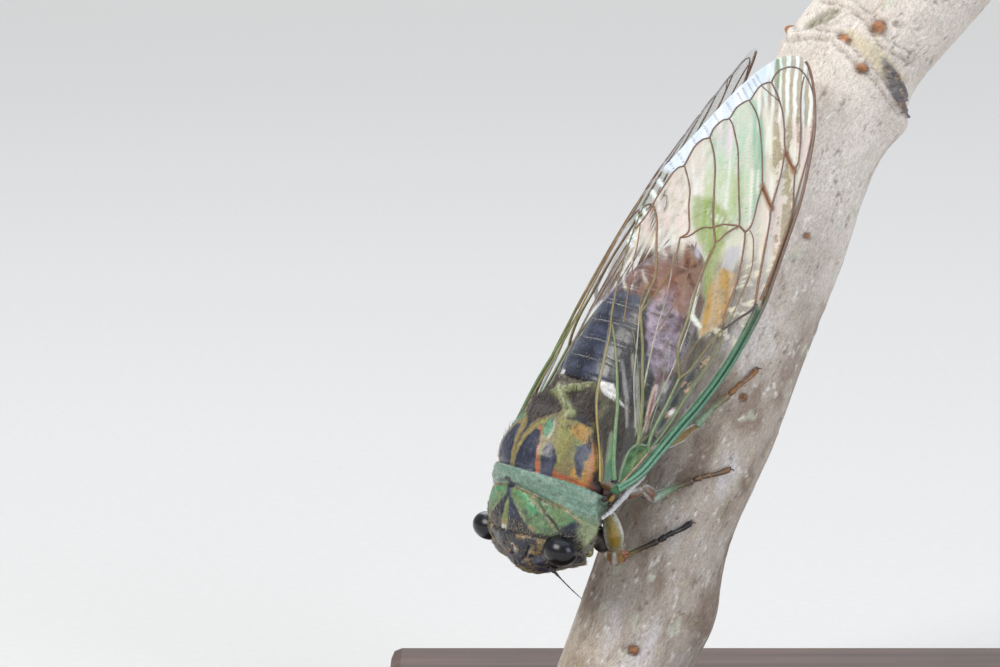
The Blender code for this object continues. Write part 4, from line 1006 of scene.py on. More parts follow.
def perchAxes():
    pitch, yaw = math.radians(perch["pitch"]), math.radians(perch["yaw"])
    down = unit((math.cos(pitch) * math.cos(yaw), math.sin(yaw), -math.sin(pitch)))
    out = unit(np.array((0.0, 0.0, 1.0)) - down * down[2])
    return down, out, np.cross(down, out)


def swelling(along, degrees):
    total = 0.0
    for place, bearing, height, reach in perch["swellings"]:
        turn = (degrees - bearing + 180.0) % 360.0 - 180.0
        total = total + height * np.exp(-((along - place) / reach) ** 2 - (turn / 42.0) ** 2)
    return total


def barkPoint(along, degrees, height):
    # a place by how far down the straight branch it is, how far round, and how high above the bark
    down, out, side = perchAxes()
    angle = math.radians(degrees)
    reach = perch["radius"] + swelling(along, degrees % 360.0) + height
    return -out * perch["depth"] + down * along + (out * math.cos(angle) + side * math.sin(angle)) * reach


def underPoint(x, y):
    halfWidth, _, bottom, squareness = tableCurve(thorax["sections"], [x])[0]
    lean = y / halfWidth
    z = bottom * (1.0 - abs(lean) ** squareness) ** (1.0 / squareness)
    return np.array((x, y, z)), unit((0.0, lean, -1.0))


def tubeBody(path, widths, columns=16, depths=None, reference=(0.12, 1.0, 0.2), spacing=0.06):
    # a closed tube with rounded ends; widths are given at even steps along it
    line = smoothPath(path, spacing)
    t = np.linspace(0.0, 1.0, len(line))
    ends = roundedEnds(len(line), min(0.3, 1.2 * max(widths[0], 0.1) / max(len(line) * spacing, 1e-3)))
    sizes = np.interp(t, np.linspace(0, 1, len(widths)), widths) * ends
    others = None if depths is None else np.interp(t, np.linspace(0, 1, len(depths)), depths) * ends
    return gridBody(tubeGrid(line, sizes, columns, others, reference))


def painted(body, rows, shine=0.6, grain=0.25, seed=61):
    # colours given along the body, with a little mottling
    knots = np.linspace(0.0, 1.0, len(rows))
    table = np.array([linearColour(code) for code in rows])
    wander = np.clip(body["along"] + 0.05 * cloud(body["points"], grain, seed), 0.0, 1.0)
    body["paint"] = np.stack([np.interp(wander, knots, table[:, k]) for k in range(3)], -1)
    dark = ease(rough(body["points"], grain, seed + 5), 0.1, 0.6) * 0.4
    body["paint"] = body["paint"] * (1.0 - dark[:, None])
    body["shine"] = np.full(len(body["points"]), shine)
    return body


def keeled(path, widths, rows, window, depths=None, columns=36, keels=3, turn=0.25):
    # a swollen joint with pale waxy keels along it and a glossy window of colour between them
    line = smoothPath(path, 0.05)
    t = np.linspace(0.0, 1.0, len(line))
    sizes = np.interp(t, np.linspace(0, 1, len(widths)), widths) * roundedEnds(len(line), 0.16)
    others = sizes * 0.82 if depths is None else np.interp(t, np.linspace(0, 1, len(depths)), depths) \
        * roundedEnds(len(line), 0.16)
    grid = tubeGrid(line, sizes, columns, others)
    around = np.arange(columns) / columns
    ridge = ease(np.cos(2 * np.pi * (keels * around + turn)), 0.55, 0.95)
    grid = grid + (grid - grid.mean(1, keepdims=True)) * 0.12 * ridge[None, :, None]
    body = painted(gridBody(grid), rows, 0.7)
    cosine = np.cos(2 * np.pi * (keels * body["around"] + turn))
    speckle = rough(body["points"], 0.25, 63)
    pale = ease(cosine, 0.45, 0.85) * ease(speckle, -0.8, 0.0)
    middle = ease(-cosine, -0.1, 0.3) * bump(body["along"], 0.50, 0.30)
    body["paint"] = brush(body["paint"], window, middle * 0.9)
    body["paint"] = brush(body["paint"], "#d0cdc4", pale * 0.85)
    body["shine"] = np.clip(0.7 + 0.25 * middle - 0.5 * pale, 0.0, 1.0)
    return body


legColours = {
    "fore": {"coxa": ("#8c8f78", "#a39a6a", "#8f8a5c", "#6d6a4a"), "window": "#a5801f",
             "femur": ("#7c6a42", "#a06a34", "#5a3a22"), "tibia": ("#a3a676", "#8a8450", "#4a3a26",
                 "#2a2018"),
             "foot": ("#241812", "#18110e")},
    "mid": {"coxa": ("#8f8878", "#9a9284", "#8a7a68"), "window": "#8a5440",
            "femur": ("#9a8c78", "#8a5a46", "#6a4030"), "tibia": ("#c3cfc0", "#a6bda4", "#7f9a78",
                "#6a5a44", "#5f4436"),
            "foot": ("#5a4632", "#6a4c2e", "#9c6a36")},
    "hind": {"coxa": ("#7f7c64", "#8c8468", "#7a6a50"), "window": "#8a6a34",
             "femur": ("#8a865e", "#86803e", "#7a4a2a"), "tibia": ("#8fae92", "#8a9a78", "#8a6a4a"),
             "foot": ("#876238", "#94622f")},
}


def clawBodies(toe, forward, up, across):
    # two hooks and the pad between them
    bodies = [painted(tubeBody([toe - forward * 0.05, toe + forward * 0.16], (0.17, 0.19, 0.13), 12,
        spacing=0.04), ("#2a1a12", "#3a2416"))]
    for lean in (-1.0, 1.0):
        path = [toe - forward * 0.05 + across * lean * 0.05,
                toe + forward * 0.20 + up * 0.04 + across * lean * 0.14,
                toe + forward * 0.32 - up * 0.04 + across * lean * 0.24,
                toe + forward * 0.34 - up * 0.18 + across * lean * 0.27]
        bodies.append(painted(tubeBody(path, (0.08, 0.065, 0.045, 0.015), 10, spacing=0.05),
            ("#2a1a12", "#4a2a18")))
    return bodies


def bristleBodies(start, end, radius, away, count, seed):
    # short stiff hairs down a shin
    chance = np.random.default_rng(seed)
    onward = unit(end - start)
    across = np.cross(onward, away)
    bodies = []
    for share in np.linspace(0.12, 0.95, count):
        angle = chance.uniform(0.0, 2 * np.pi)
        out = away * math.cos(angle) + across * math.sin(angle)
        root = start + (end - start) * share + out * radius * 0.8
        tip = root + out * chance.uniform(0.16, 0.30) + onward * chance.uniform(0.15, 0.28)
        bodies.append(painted(
            tubeBody([root, (root + tip) / 2 + out * 0.02, tip], (0.030, 0.022, 0.006), 5, spacing=0.12),
            ("#5a3a20", "#8a6a3a")))
    return bodies


def makeLeg(name, side):
    sizes, colours = legs[name], legColours[name]
    mirror = np.array((1.0, side, 1.0))
    places = {}
    for key in ("knee", "ankle", "toe"):
        along, degrees, height = sizes[key]
        places[key] = barkPoint(along, degrees if side > 0 else -degrees, height)
    knee, ankle, toe = places["knee"], places["ankle"], places["toe"]
    root, outward = underPoint(*sizes["root"])
    root, outward = root * mirror, outward * mirror
    coxa = np.array(sizes["coxa"]) * mirror
    hip = coxa[-1]
    bodies = [painted(tubeBody([root - outward * 1.3, (root + hip) / 2.0, hip], (1.0, 0.9, 0.5), 20),
                      ("#2a2219", "#3a3126", "#5a4c3a"), 0.3)]
    bodies.append(keeled(coxa, sizes["coxaWidth"], colours["coxa"], colours["window"]))
    first, middleSize, last = sizes["femur"]
    bulge = unit(np.cross(knee - hip, (0.0, 0.0, 1.0))) * 0.08
    waist = hip + (knee - hip) * 0.45 + bulge
    bodies.append(keeled([hip - (knee - hip) * 0.08, waist, knee],
                         (first * 0.72, first, middleSize, last * 0.9, last * 0.8),
                         colours["femur"], colours["window"], columns=32, turn=0.6))
    if name == "fore":
        # a lump under the front of the thorax, near black as painted shade in the gap between head and
        # branch
        socket = [np.array(p) * mirror for p in ((5.6, 3.2, -3.9), (6.5, 3.1, -4.1), (7.3, 2.8, -4.0))]
        bodies.append(painted(tubeBody(socket, (0.7, 0.85, 0.8, 0.5), 24),
            ("#1c1712", "#2a231b", "#16120f"), 0.15))
        outer = unit((-0.30, 0.75 * side, -0.45))
        for share, size in ((0.20, 1.15), (0.45, 0.95), (0.72, 0.6)):
            start = hip + (knee - hip) * share + outer * middleSize * 0.45
            spike = [start, start + outer * size * 0.6, start + outer * size + unit(knee - hip) * 0.30]
            bodies.append(painted(tubeBody(spike, (0.30, 0.22, 0.05), 14),
                ("#c9c2b4", "#a8683c", "#6a3c22")))
    wide, slim = sizes["tibia"]
    up = perchAxes()[1]
    lift = unit(np.cross(ankle - knee, np.cross(up, ankle - knee))) * 0.16
    shin = [knee - unit(ankle - knee) * 0.12, knee + (ankle - knee) * 0.16 + lift * 0.7,
            knee + (ankle - knee) * 0.55 + lift, ankle]
    bodies.append(painted(
        tubeBody(shin, (wide * 1.1, wide * 0.82, slim * 0.75, slim * 0.80, slim * 1.05), 20),
        colours["tibia"], 0.7))
    bodies += bristleBodies(knee, ankle, slim * 0.85, unit(lift), 22, 5)
    onward = unit(toe - ankle)
    away = unit(np.cross(onward, np.cross(up, onward)))
    across = np.cross(onward, away)
    for lean in (-1.0, 1.0):
        spur = [ankle - onward * 0.25, ankle + onward * 0.30 + across * lean * 0.30 - away * 0.08]
        bodies.append(painted(tubeBody(spur, (0.10, 0.02), 8, spacing=0.1), ("#5a3018", "#2a170e")))
    knots = [0.0, 0.20, 0.46, 1.0]
    for k in range(3):
        start, end = ankle + (toe - ankle) * knots[k], ankle + (toe - ankle) * knots[k + 1]
        size = (0.32, 0.28, 0.27)[k]
        bend = away * (0.04, 0.05, -0.10)[k]
        segment = [start - onward * 0.06, (start + end) / 2.0 + bend, end + onward * 0.04]
        bodies.append(painted(tubeBody(segment, (size * 0.7, size * 0.8, size * 1.1), 16),
            colours["foot"], 0.8))
    bodies += clawBodies(toe, onward, away, across)
    label = "left" if side > 0 else "right"
    addPiece(name + "_leg_" + label, joined(bodies), legChitin,
             tuple(name + part + label for part in ("_femur_", "_tibia_", "_tarsus_")))


def makeAntenna(label, side):
    start = np.array((10.72, 3.35 * side, 0.15))
    toward = unit((0.36, 0.52, -0.70) if side > 0 else (0.06, -0.30, -1.0))
    share = np.linspace(0.0, 1.0, 60)
    line = start + toward * (share * 3.5)[:, None] + np.array((-0.2, 0.1, -0.3)) * (share ** 2)[:, None]
    radius = np.interp(share, (0, 0.06, 0.14, 0.17, 0.26, 0.30, 1.0),
        (0.22, 0.24, 0.20, 0.12, 0.11, 0.06, 0.03))
    radius = radius * (1.0 + 0.22 * np.maximum(0.0, np.sin(share * 2 * np.pi * 7.0)) * (share > 0.28))
    body = gridBody(tubeGrid(line, radius, 14))
    addPiece("antenna_hair_" + label, painted(body, ("#1a1613", "#241a14", "#3a2a1e")), legChitin,
        ("antenna_" + label,))


def makeRostrum():
    path = [(8.9, 0, -4.98), (6.5, 0, -5.25), (2.0, 0, -5.42), (-1.2, 0, -5.42)]
    tube = tubeBody(path, (0.60, 0.55, 0.50, 0.44, 0.34, 0.22), 20)
    groove = np.exp(-(tube["points"][:, 1] / 0.07) ** 2) * (tube["points"][:, 2] < -5.3) * 0.08
    tube["points"][:, 2] += groove
    addPiece("beak", painted(tube, ("#5a4a30", "#8a7748", "#6a4a2a", "#1c130e")), legChitin,
        ("rostrum",))


for legName in legs:
    for label, side in sides.items():
        makeLeg(legName, side)
for label, side in sides.items():
    makeAntenna(label.lower(), side)
makeRostrum()
print("legs, antennae and beak made")


# Wings. A place on a wing is (u, v) in mm: u from the root to the tip, v across it toward the costal edge

wing = {
    "root": (3.28, 6.15, 0.89), "tip": (-38.07, 2.89, 0.26), "slope": 56.0,
    "shoulder": 0.70, "shoulderReach": 6.0, "bow": 1.5, "span": 41.48,
    "thickness": 0.05, "hindDrop": 1.08,
    "costal": ((0, 0.75), (2.44, 2.18), (5, 2.97), (8, 3.85), (10, 4.44), (13, 5.13), (16, 5.57),
        (20, 5.85), (23, 5.65), (26, 5.4), (28, 5.27), (30, 5.03), (32, 4.68), (33.8, 4.24),
        (36.3, 3.56), (38.7, 2.53), (39.7, 1.9), (40.7, 1.2), (41.3, 0.6), (41.5, -0.06)),
    "inner": ((0, -0.5), (0.38, -1.1), (2.44, -2.1), (5, -3.5), (7, -4.35), (10, -5.0), (12.2, -5.5),
        (14.2, -6.15), (18, -6.95), (21.3, -7.3), (24, -7.35), (26.5, -7.15), (28.9, -6.44),
        (31.9, -5.5), (35, -4.5), (36.8, -3.85), (38.7, -3.0), (39.8, -2.35), (40.7, -1.7),
        (41.3, -0.85), (41.5, -0.14)),
    "hindFront": ((4.8, 0.9), (8, 2.3), (14, 3.4), (21, 3.0), (26, 1.2), (27.2, -0.95)),
    "hindRear": ((4.8, 0.8), (6, -0.6), (9.5, -2.4), (14, -3.9), (20, -5.0), (25, -3.4), (27.2, -1.05)),
}
ambient = ((37.2, 3.0), (38.5, 2.5), (39.1, 2.0), (39.8, 1.3), (40.2, 0.7), (40.4, 0.13), (40.3, -0.46),
           (40, -0.95), (39.4, -1.44), (38.7, -1.62), (38.15, -1.64), (38, -1.93), (37.5, -2.33),
           (36.95, -2.5), (35.9, -2.67), (35.7, -2.9), (34.8, -3.45), (33.6, -3.65), (33.2, -4.1),
           (32.2, -4.5), (31.3, -4.53), (30.9, -4.97), (29.9, -5.36), (28.1, -5.5), (27.8, -5.8),
           (27, -6.12), (25, -6.44), (23.8, -6.54), (22.5, -6.7), (21.3, -7.0))
veins = {                                   # name: tone, radius at the root and at the far end, points
    "costaOuter": ("costa", 0.21, 0.13, ((0.4, 0.75), (2.44, 2.0), (5, 2.8), (8, 3.68), (10, 4.26),
        (13, 4.95), (16, 5.4), (20, 5.68), (23, 5.5), (26, 5.25), (30, 4.88), (33.8, 4.1),
        (36.3, 3.42), (38.5, 2.45), (39.8, 1.7), (40.8, 0.95), (41.3, 0.35))),
    "costaInner": ("costa", 0.19, 0.15, ((0.6, 0.55), (2.44, 1.65), (5, 2.42), (7.93, 3.2),
        (10, 3.87), (13, 4.56), (16, 4.95), (19, 5.1), (20.1, 4.98))),
    "costaDistal": ("brown", 0.14, 0.07, ((20.6, 5.2), (23, 5.1), (26, 4.88), (28, 4.68), (30, 4.4),
        (33, 3.95), (35, 3.6), (37.2, 3.0), (38.5, 2.5))),
    "stem": ("pink", 0.09, 0.08, ((0.7, 0.6), (2.4, 1.1), (4.2, 1.62), (5, 1.75))),
    "radiusA": ("green", 0.10, 0.08, ((5, 1.79), (6.4, 2.14), (8.03, 2.43), (10, 2.69), (13, 3.21),
        (15, 3.5), (16.5, 3.2))),
    "medianStem": ("green", 0.15, 0.11, ((4.4, 1.7), (4.99, 1.4), (6.36, 1.27), (8.3, 1.38),
        (10, 1.42), (11.17, 1.42))),
    "medianFork": ("olive", 0.10, 0.09, ((11.17, 1.42), (12.2, 1.99), (14, 2.38), (15.97, 2.87),
        (16.6, 3.1))),
    "cubitus": ("olive", 0.13, 0.08, ((11.17, 1.42), (12.5, 0.62), (14, 0.13), (15.97, -0.02),
        (18.3, -0.36), (20.1, -0.56), (22.05, -0.51), (23.05, -0.6), (24.1, -1.15), (25, -1.6),
        (27.3, -2.47), (28.9, -3.06), (30.1, -3.65), (31.3, -4.5))),
    "nodal": ("dark", 0.11, 0.10, ((20.1, 4.93), (19.3, 4.73), (18.3, 4.1), (17.3, 3.56), (16.6, 3.07))),
    "sector": ("brown", 0.12, 0.07, ((20.1, 4.83), (22.05, 4.29), (24, 3.8), (25, 3.56),
        (26.95, 3.07), (28.1, 2.72), (30.9, 2.33), (33, 1.84), (33.8, 1.5), (35.8, 0.52),
        (36.75, -0.17), (37.5, -0.85), (38.15, -1.6))),
    "discalA": ("olive", 0.065, 0.06, ((16.6, 3.1), (16.95, 3.36), (18.3, 3.41), (20.3, 3.41),
        (22.05, 3.36), (23, 3.16), (24, 2.77), (25, 2.28), (25.4, 1.75))),
    "discalB": ("brown", 0.09, 0.09, ((16.66, 3.0), (17.3, 2.82), (18.3, 2.67), (20.1, 2.62),
        (22.05, 2.33), (24, 1.84), (25.1, 1.45))),
    "upperMedian": ("brown", 0.09, 0.07, ((25.1, 1.45), (25.4, 1.62), (26.2, 1.7), (27.9, 1.4),
        (29.4, 1.2), (29.9, 1.0), (32.05, 0.03), (34, -1.0), (34.8, -1.54), (35.3, -2.03),
        (35.8, -2.7))),
    "discLink": ("brown", 0.11, 0.11, ((25.1, 1.45), (25.3, 0.77))),
    "lowerMedian": ("brown", 0.09, 0.07, ((25.3, 0.77), (26.2, 0.42), (28.1, -0.5), (29.9, -1.3),
        (31.3, -1.93), (32.3, -2.57), (33.2, -3.2), (33.6, -3.7))),
    "crossH": ("brown", 0.09, 0.08, ((25.3, 0.77), (24.2, 0.03), (23.4, -0.27), (23.05, -0.6))),
    "crossI": ("brown", 0.09, 0.07, ((25.3, 0.77), (24.8, -0.46), (24.1, -1.25), (23.6, -2.1),
        (22.5, -2.8), (22.05, -3.4))),
    "crossJ": ("brown", 0.08, 0.07, ((22.05, -3.4), (22.9, -2.96), (24.2, -3.5), (25, -3.85),
        (26.2, -4.24), (27.1, -4.78), (28.1, -5.5))),
    "cubitusB": ("olive", 0.17, 0.08, ((4.5, 0.52), (5.6, 0.22), (8.03, -0.66), (9.99, -1.54),
        (12.25, -2.52), (14.8, -3.75), (16.5, -3.9), (18.3, -3.99), (20.8, -4.97), (22.8, -5.8),
        (23.8, -6.54))),
    "cubitusLink": ("olive", 0.08, 0.08, ((14.8, -3.75), (17.6, -3.2), (20.0, -3.05), (22.05, -3.4))),
    "basalCell": ("green", 0.08, 0.09, ((4.9, 1.5), (4.6, 0.9), (4.5, 0.52), (3.7, 0.1), (2.5, 0.15),
        (0.97, 0.42))),
    "anal": ("pale", 0.21, 0.08, ((0.97, 0.03), (2.44, -0.76), (5, -1.74), (6.95, -2.42), (10, -3.8),
        (11.75, -4.68), (13, -5.46))),
    "innerEdge": ("yellow", 0.10, 0.06, ((0.38, -1.0), (2.44, -1.95), (5, -3.3), (6.95, -4.12),
        (10, -4.8), (12.2, -5.3), (14.2, -5.95), (17.9, -6.75), (21.3, -7.1), (24, -7.2))),
    "claval": ("brown", 0.065, 0.05, ((13.5, -4.7), (16.2, -5.46), (17.3, -5.7), (18.8, -6.1),
        (20.1, -6.34), (22.0, -6.85))),
    "ambient": ("brown", 0.075, 0.075, ambient),
    "apical": ("brown", 0.09, 0.07, ((28.6, 4.5), (29.3, 4.42), (30.4, 3.95), (32.1, 3.3), (33, 3.26),
        (35, 2.58), (37.7, 1.4), (39.2, 0.9), (40, 0.76))),
    "crossA": ("infused", 0.10, 0.10, ((28.15, 2.66), (28.7, 2.0), (29.35, 1.26))),
    "crossB": ("infused", 0.10, 0.10, ((32.1, 3.2), (32.5, 2.6), (33.05, 1.9))),
    "tipFork": ("brown", 0.06, 0.05, ((36.9, -0.3), (37.2, -1.3), (37.5, -2.3))),
    "foldA": ("pale", 0.045, 0.035, ((6.2, 0.9), (9.3, 0.5), (11.3, -0.07), (13.5, -0.66))),
    "foldB": ("pale", 0.045, 0.035, ((5, 0.03), (8, -0.95), (10, -1.93), (11.3, -2.6), (13.2, -3.8))),
}
hindVeins = {
    "hindCosta": ("olive", 0.10, 0.06, ((4.9, 0.85), (6, 1.3), (8, 2.2), (14, 3.25), (18, 3.2),
        (21, 2.85), (24, 1.95), (26, 1.05))),
    "hindMedian": ("ash", 0.07, 0.05, ((5.2, 0.7), (7, 0.6), (11, 0.75), (15, 0.55), (20, 0.0),
        (24.6, -0.9))),
    "hindMedianFork": ("brown", 0.06, 0.05, ((11, 0.75), (14, 1.6), (18, 1.75), (22, 1.2), (25.2, 0.3))),
    "hindCubitus": ("ash", 0.08, 0.05, ((5.4, 0.4), (7.4, -0.3), (10.5, -1.1), (14, -1.8), (18, -2.4),
        (22.4, -3.6))),
    "hindCubitusFork": ("brown", 0.06, 0.05, ((14, -1.8), (18, -1.3), (22, -1.7), (24.4, -2.4))),
    "hindAnal": ("ash", 0.08, 0.05, ((5.6, 0.2), (7, -0.6), (9.5, -1.8), (12.4, -2.8), (15.5, -3.9))),
    "hindAmbient": ("brown", 0.05, 0.05, ((25.8, 0.6), (26.3, -0.6), (25.7, -1.8), (24.4, -2.9),
        (22.4, -3.8), (19.8, -4.4), (16.5, -4.1), (14, -3.5))),
}
veinTones = {                               # colours from the root to the tip
    "costa": ("#5f8c70", "#4a7a5c", "#40694e", "#5f4a34", "#6b4c36", "#7a5a4a"),
    "green": ("#5f8464", "#6a7c4c", "#746f40", "#7a6238", "#5f4430", "#5a4030"),
    "olive": ("#66784a", "#70703f", "#77683c", "#7c5634", "#6d4a34", "#5f4636"),
    "brown": ("#80703f", "#7c643a", "#7c5634", "#7c5232", "#70503c", "#665046"),
    "dark": ("#3a2a1c", "#3a2a1c", "#3a2a1c", "#3f2c1e", "#3a2a1c", "#3a2a1c"),
    "pink": ("#9a7a66", "#a08066", "#9a7a50", "#8a6a4a", "#8a6a4a", "#8a6a4a"),
    "pale": ("#5c8460", "#6c7f4a", "#7a6e44", "#8a6a40", "#8a6a40", "#8a6a40"),
    "yellow": ("#9c8a44", "#8a7a40", "#7a683a", "#6f6a3a", "#5f4a34", "#5f4a34"),
    "infused": ("#7a3f1c",) * 6,
    "ash": ("#a9a890", "#b3aea0", "#b0a898", "#9a8878", "#86705e", "#6f5a48"),
}
wingGreen = "#3a6f56"


def edgeCurve(name, u):
    curve = smoothPath(wing[name], 0.15)
    order = np.argsort(curve[:, 0], kind="stable")
    return np.interp(u, curve[order, 0], curve[order, 1])


def wingAxes(side):
    root, tip = np.array(wing["root"]), np.array(wing["tip"])
    slope = math.radians(wing["slope"])
    along = unit(tip - root)
    across = np.array((0.0, math.cos(slope), -math.sin(slope)))
    across = unit(across - along * along.dot(across))
    mirror = np.array((1.0, side, 1.0))
    return root * mirror, along * mirror, across * mirror, np.cross(across, along) * mirror


def wingSurface(u, v, lift, side):
    # lift is the height above the curved middle of the wing
    root, along, across, outward = wingAxes(side)
    low, high = edgeCurve("inner", u), edgeCurve("costal", u)
    share = np.clip((v - low) / np.maximum(high - low, 1e-3), 0.0, 1.0)
    rise = wing["shoulder"] * np.exp(-(u / wing["shoulderReach"]) ** 2)
    rise = (rise + wing["bow"] * np.sin(np.pi * np.clip(u / wing["span"], 0, 1) ** 0.70)
            * 4 * share * (1 - share))
    rise = rise + lift
    return root + along * u[..., None] + across * v[..., None] + outward * rise[..., None]


def wingSheet(u, low, high, columns, sag, drop, side):
    # a closed leaf of membrane between two edges; sag(u, v) lets it dip between the veins
    share = np.linspace(0.0, 1.0, columns)
    v = low[:, None] + (high - low)[:, None] * share
    uu = np.repeat(u[:, None], columns, 1)
    half = wing["thickness"] / 2.0 * np.sqrt(np.clip(1.0 - np.abs(2 * share - 1) ** 10, 0.02, 1.0))
    level = sag(uu, v) - drop
    top = wingSurface(uu, v, level + half, side)
    bottom = wingSurface(uu, v, level - half, side)
    body = gridBody(np.concatenate([top, bottom[:, ::-1]], 1))
    flat = np.concatenate([np.stack([uu, v], -1), np.stack([uu, v], -1)[:, ::-1]], 1).reshape(-1, 2)
    ends = np.array([[u[0], (low[0] + high[0]) / 2], [u[-1], (low[-1] + high[-1]) / 2]])
    body["place"] = np.hstack([np.vstack([flat, ends]), np.zeros((len(flat) + 2, 1))])
    return body


def veinReach(u, v, network):
    # distance to the nearest vein
    reach = np.full(np.shape(u), 9.0)
    for *_, points in network.values():
        reach = np.minimum(reach, lineDistance(u, v, points)[0])
    return reach


marks = {                                   # on the forewing, in (u, v) or (u, v, half width)
    "mint": ((35.8, -2.4, 0.3), (34.6, -1.4, 0.45), (31.8, -0.1, 0.55), (28.6, 1.0, 0.45),
        (26.4, 1.4, 0.2)),
    "lime": ((25.9, -3.7), (26.4, -2.3), (25.9, -0.8), (25.0, 0.1), (23.1, 0.2), (20.6, 0.6),
        (18.2, 0.8), (18.6, 0.2), (20.7, -0.7), (22.6, -1.9), (23.9, -3.1)),
    "rufous": ((16.0, -5.5), (17.4, -4.5), (18.4, -3.5), (18.3, -2.4), (20.2, -2.7), (22.0, -2.6),
        (22.4, -1.6), (20.8, -0.7), (18.6, -0.4), (16.0, -0.2)),
    "lilac": ((23.8, 1.7), (23.3, 0.7), (21.2, 0.8), (21.3, 1.9)),
    "amber": ((21.4, 0.8), (21.4, 2.2), (19.5, 2.8), (17.3, 3.0), (16.0, 2.2), (15.0, 1.6),
        (15.6, 1.2), (17.5, 0.9), (19.3, 0.5)),
    "white": ((19.2, -0.4, 0.12), (17.6, -0.2, 0.22), (16.4, 0.1, 0.26), (15.9, 1.2, 0.2)),
    "windows": (((22.6, -6.0), (1.5, 0.28)), ((19.0, -4.9), (1.3, 0.34)), ((21.3, -4.2), (0.9, 0.22)),
        ((24.6, -5.8), (1.0, 0.30)), ((17.4, -5.9), (1.1, 0.26)), ((26.6, -5.0), (0.7, 0.16))),
    "fragments": ((25.9, -6.75), (24.8, -6.9), (23.1, -7.1), (22.2, -7.2), (20.8, -7.1), (20.1, -7.05)),
    "creases": ((27.8, -6.6), (28.8, -6.2), (30.6, -5.7), (32.0, -5.2), (33.3, -4.8), (34.7, -4.2),
        (35.9, -3.7), (36.5, -3.5), (37.1, -3.25), (37.6, -3.0), (38.1, -2.9)),
    "smoke": (((28.1, 2.75, 0.30), (28.6, 2.15, 0.24), (29.4, 1.25, 0.26)), ((32.0, 3.25, 0.30),
        (32.5, 2.65, 0.20), (33.1, 1.95, 0.24))),
    "lilacLine": ((37.5, 2.95, 0.06), (35.4, 3.55, 0.13), (33.2, 4.1, 0.05)),
    "cell": ((0.9, 0.6), (2.5, 1.15), (4.4, 1.7), (4.9, 1.45), (4.5, 0.6), (3.7, 0.1), (2.9, -0.05),
        (1.6, 0.2), (0.97, 0.42)),
    "clavus": ((0.9, -0.55, 0.25), (2.4, -1.05, 0.28), (4.4, -1.8, 0.08)),
    "yellow": ((0.5, -1.1, 0.25), (1.7, -1.55, 0.20), (2.4, -1.9, 0.06)),
    "lane": ((9.5, -0.1, 0.20), (8.15, 0.15, 0.25), (6.75, 0.42, 0.20), (5.7, 0.65, 0.12)),
    "core": ((9.2, 0.0, 0.04), (8.1, 0.22, 0.10), (6.8, 0.48, 0.10), (6.0, 0.62, 0.04)),
    "glare": (((11.2, -2.9, 0.10), (9.3, -1.8, 0.22), (7.6, -0.8, 0.16), (5.7, -0.3, 0.08)),
        ((10.4, -3.5, 0.08), (7.6, -1.9, 0.14), (5.4, -0.9, 0.05))),
    "lace": ((13.7, 2.95, 0.30), (11.3, 2.35, 0.42), (9.0, 2.05, 0.42), (6.4, 1.65, 0.18)),
    "hinge": ((-0.5, -1.4), (0.1, -1.2), (0.5, -0.6), (0.5, 0.0), (-0.5, 0.3)),
    "green": ((40.3, -1.9, 0.13), (39.3, -1.5, 0.20), (38.0, -0.95, 0.12)),
}


def tint(paint, cover, code, mask, least):
    # colours the film and makes it at least so opaque
    brush(paint, code, mask)
    np.maximum(cover, least * mask, out=cover)


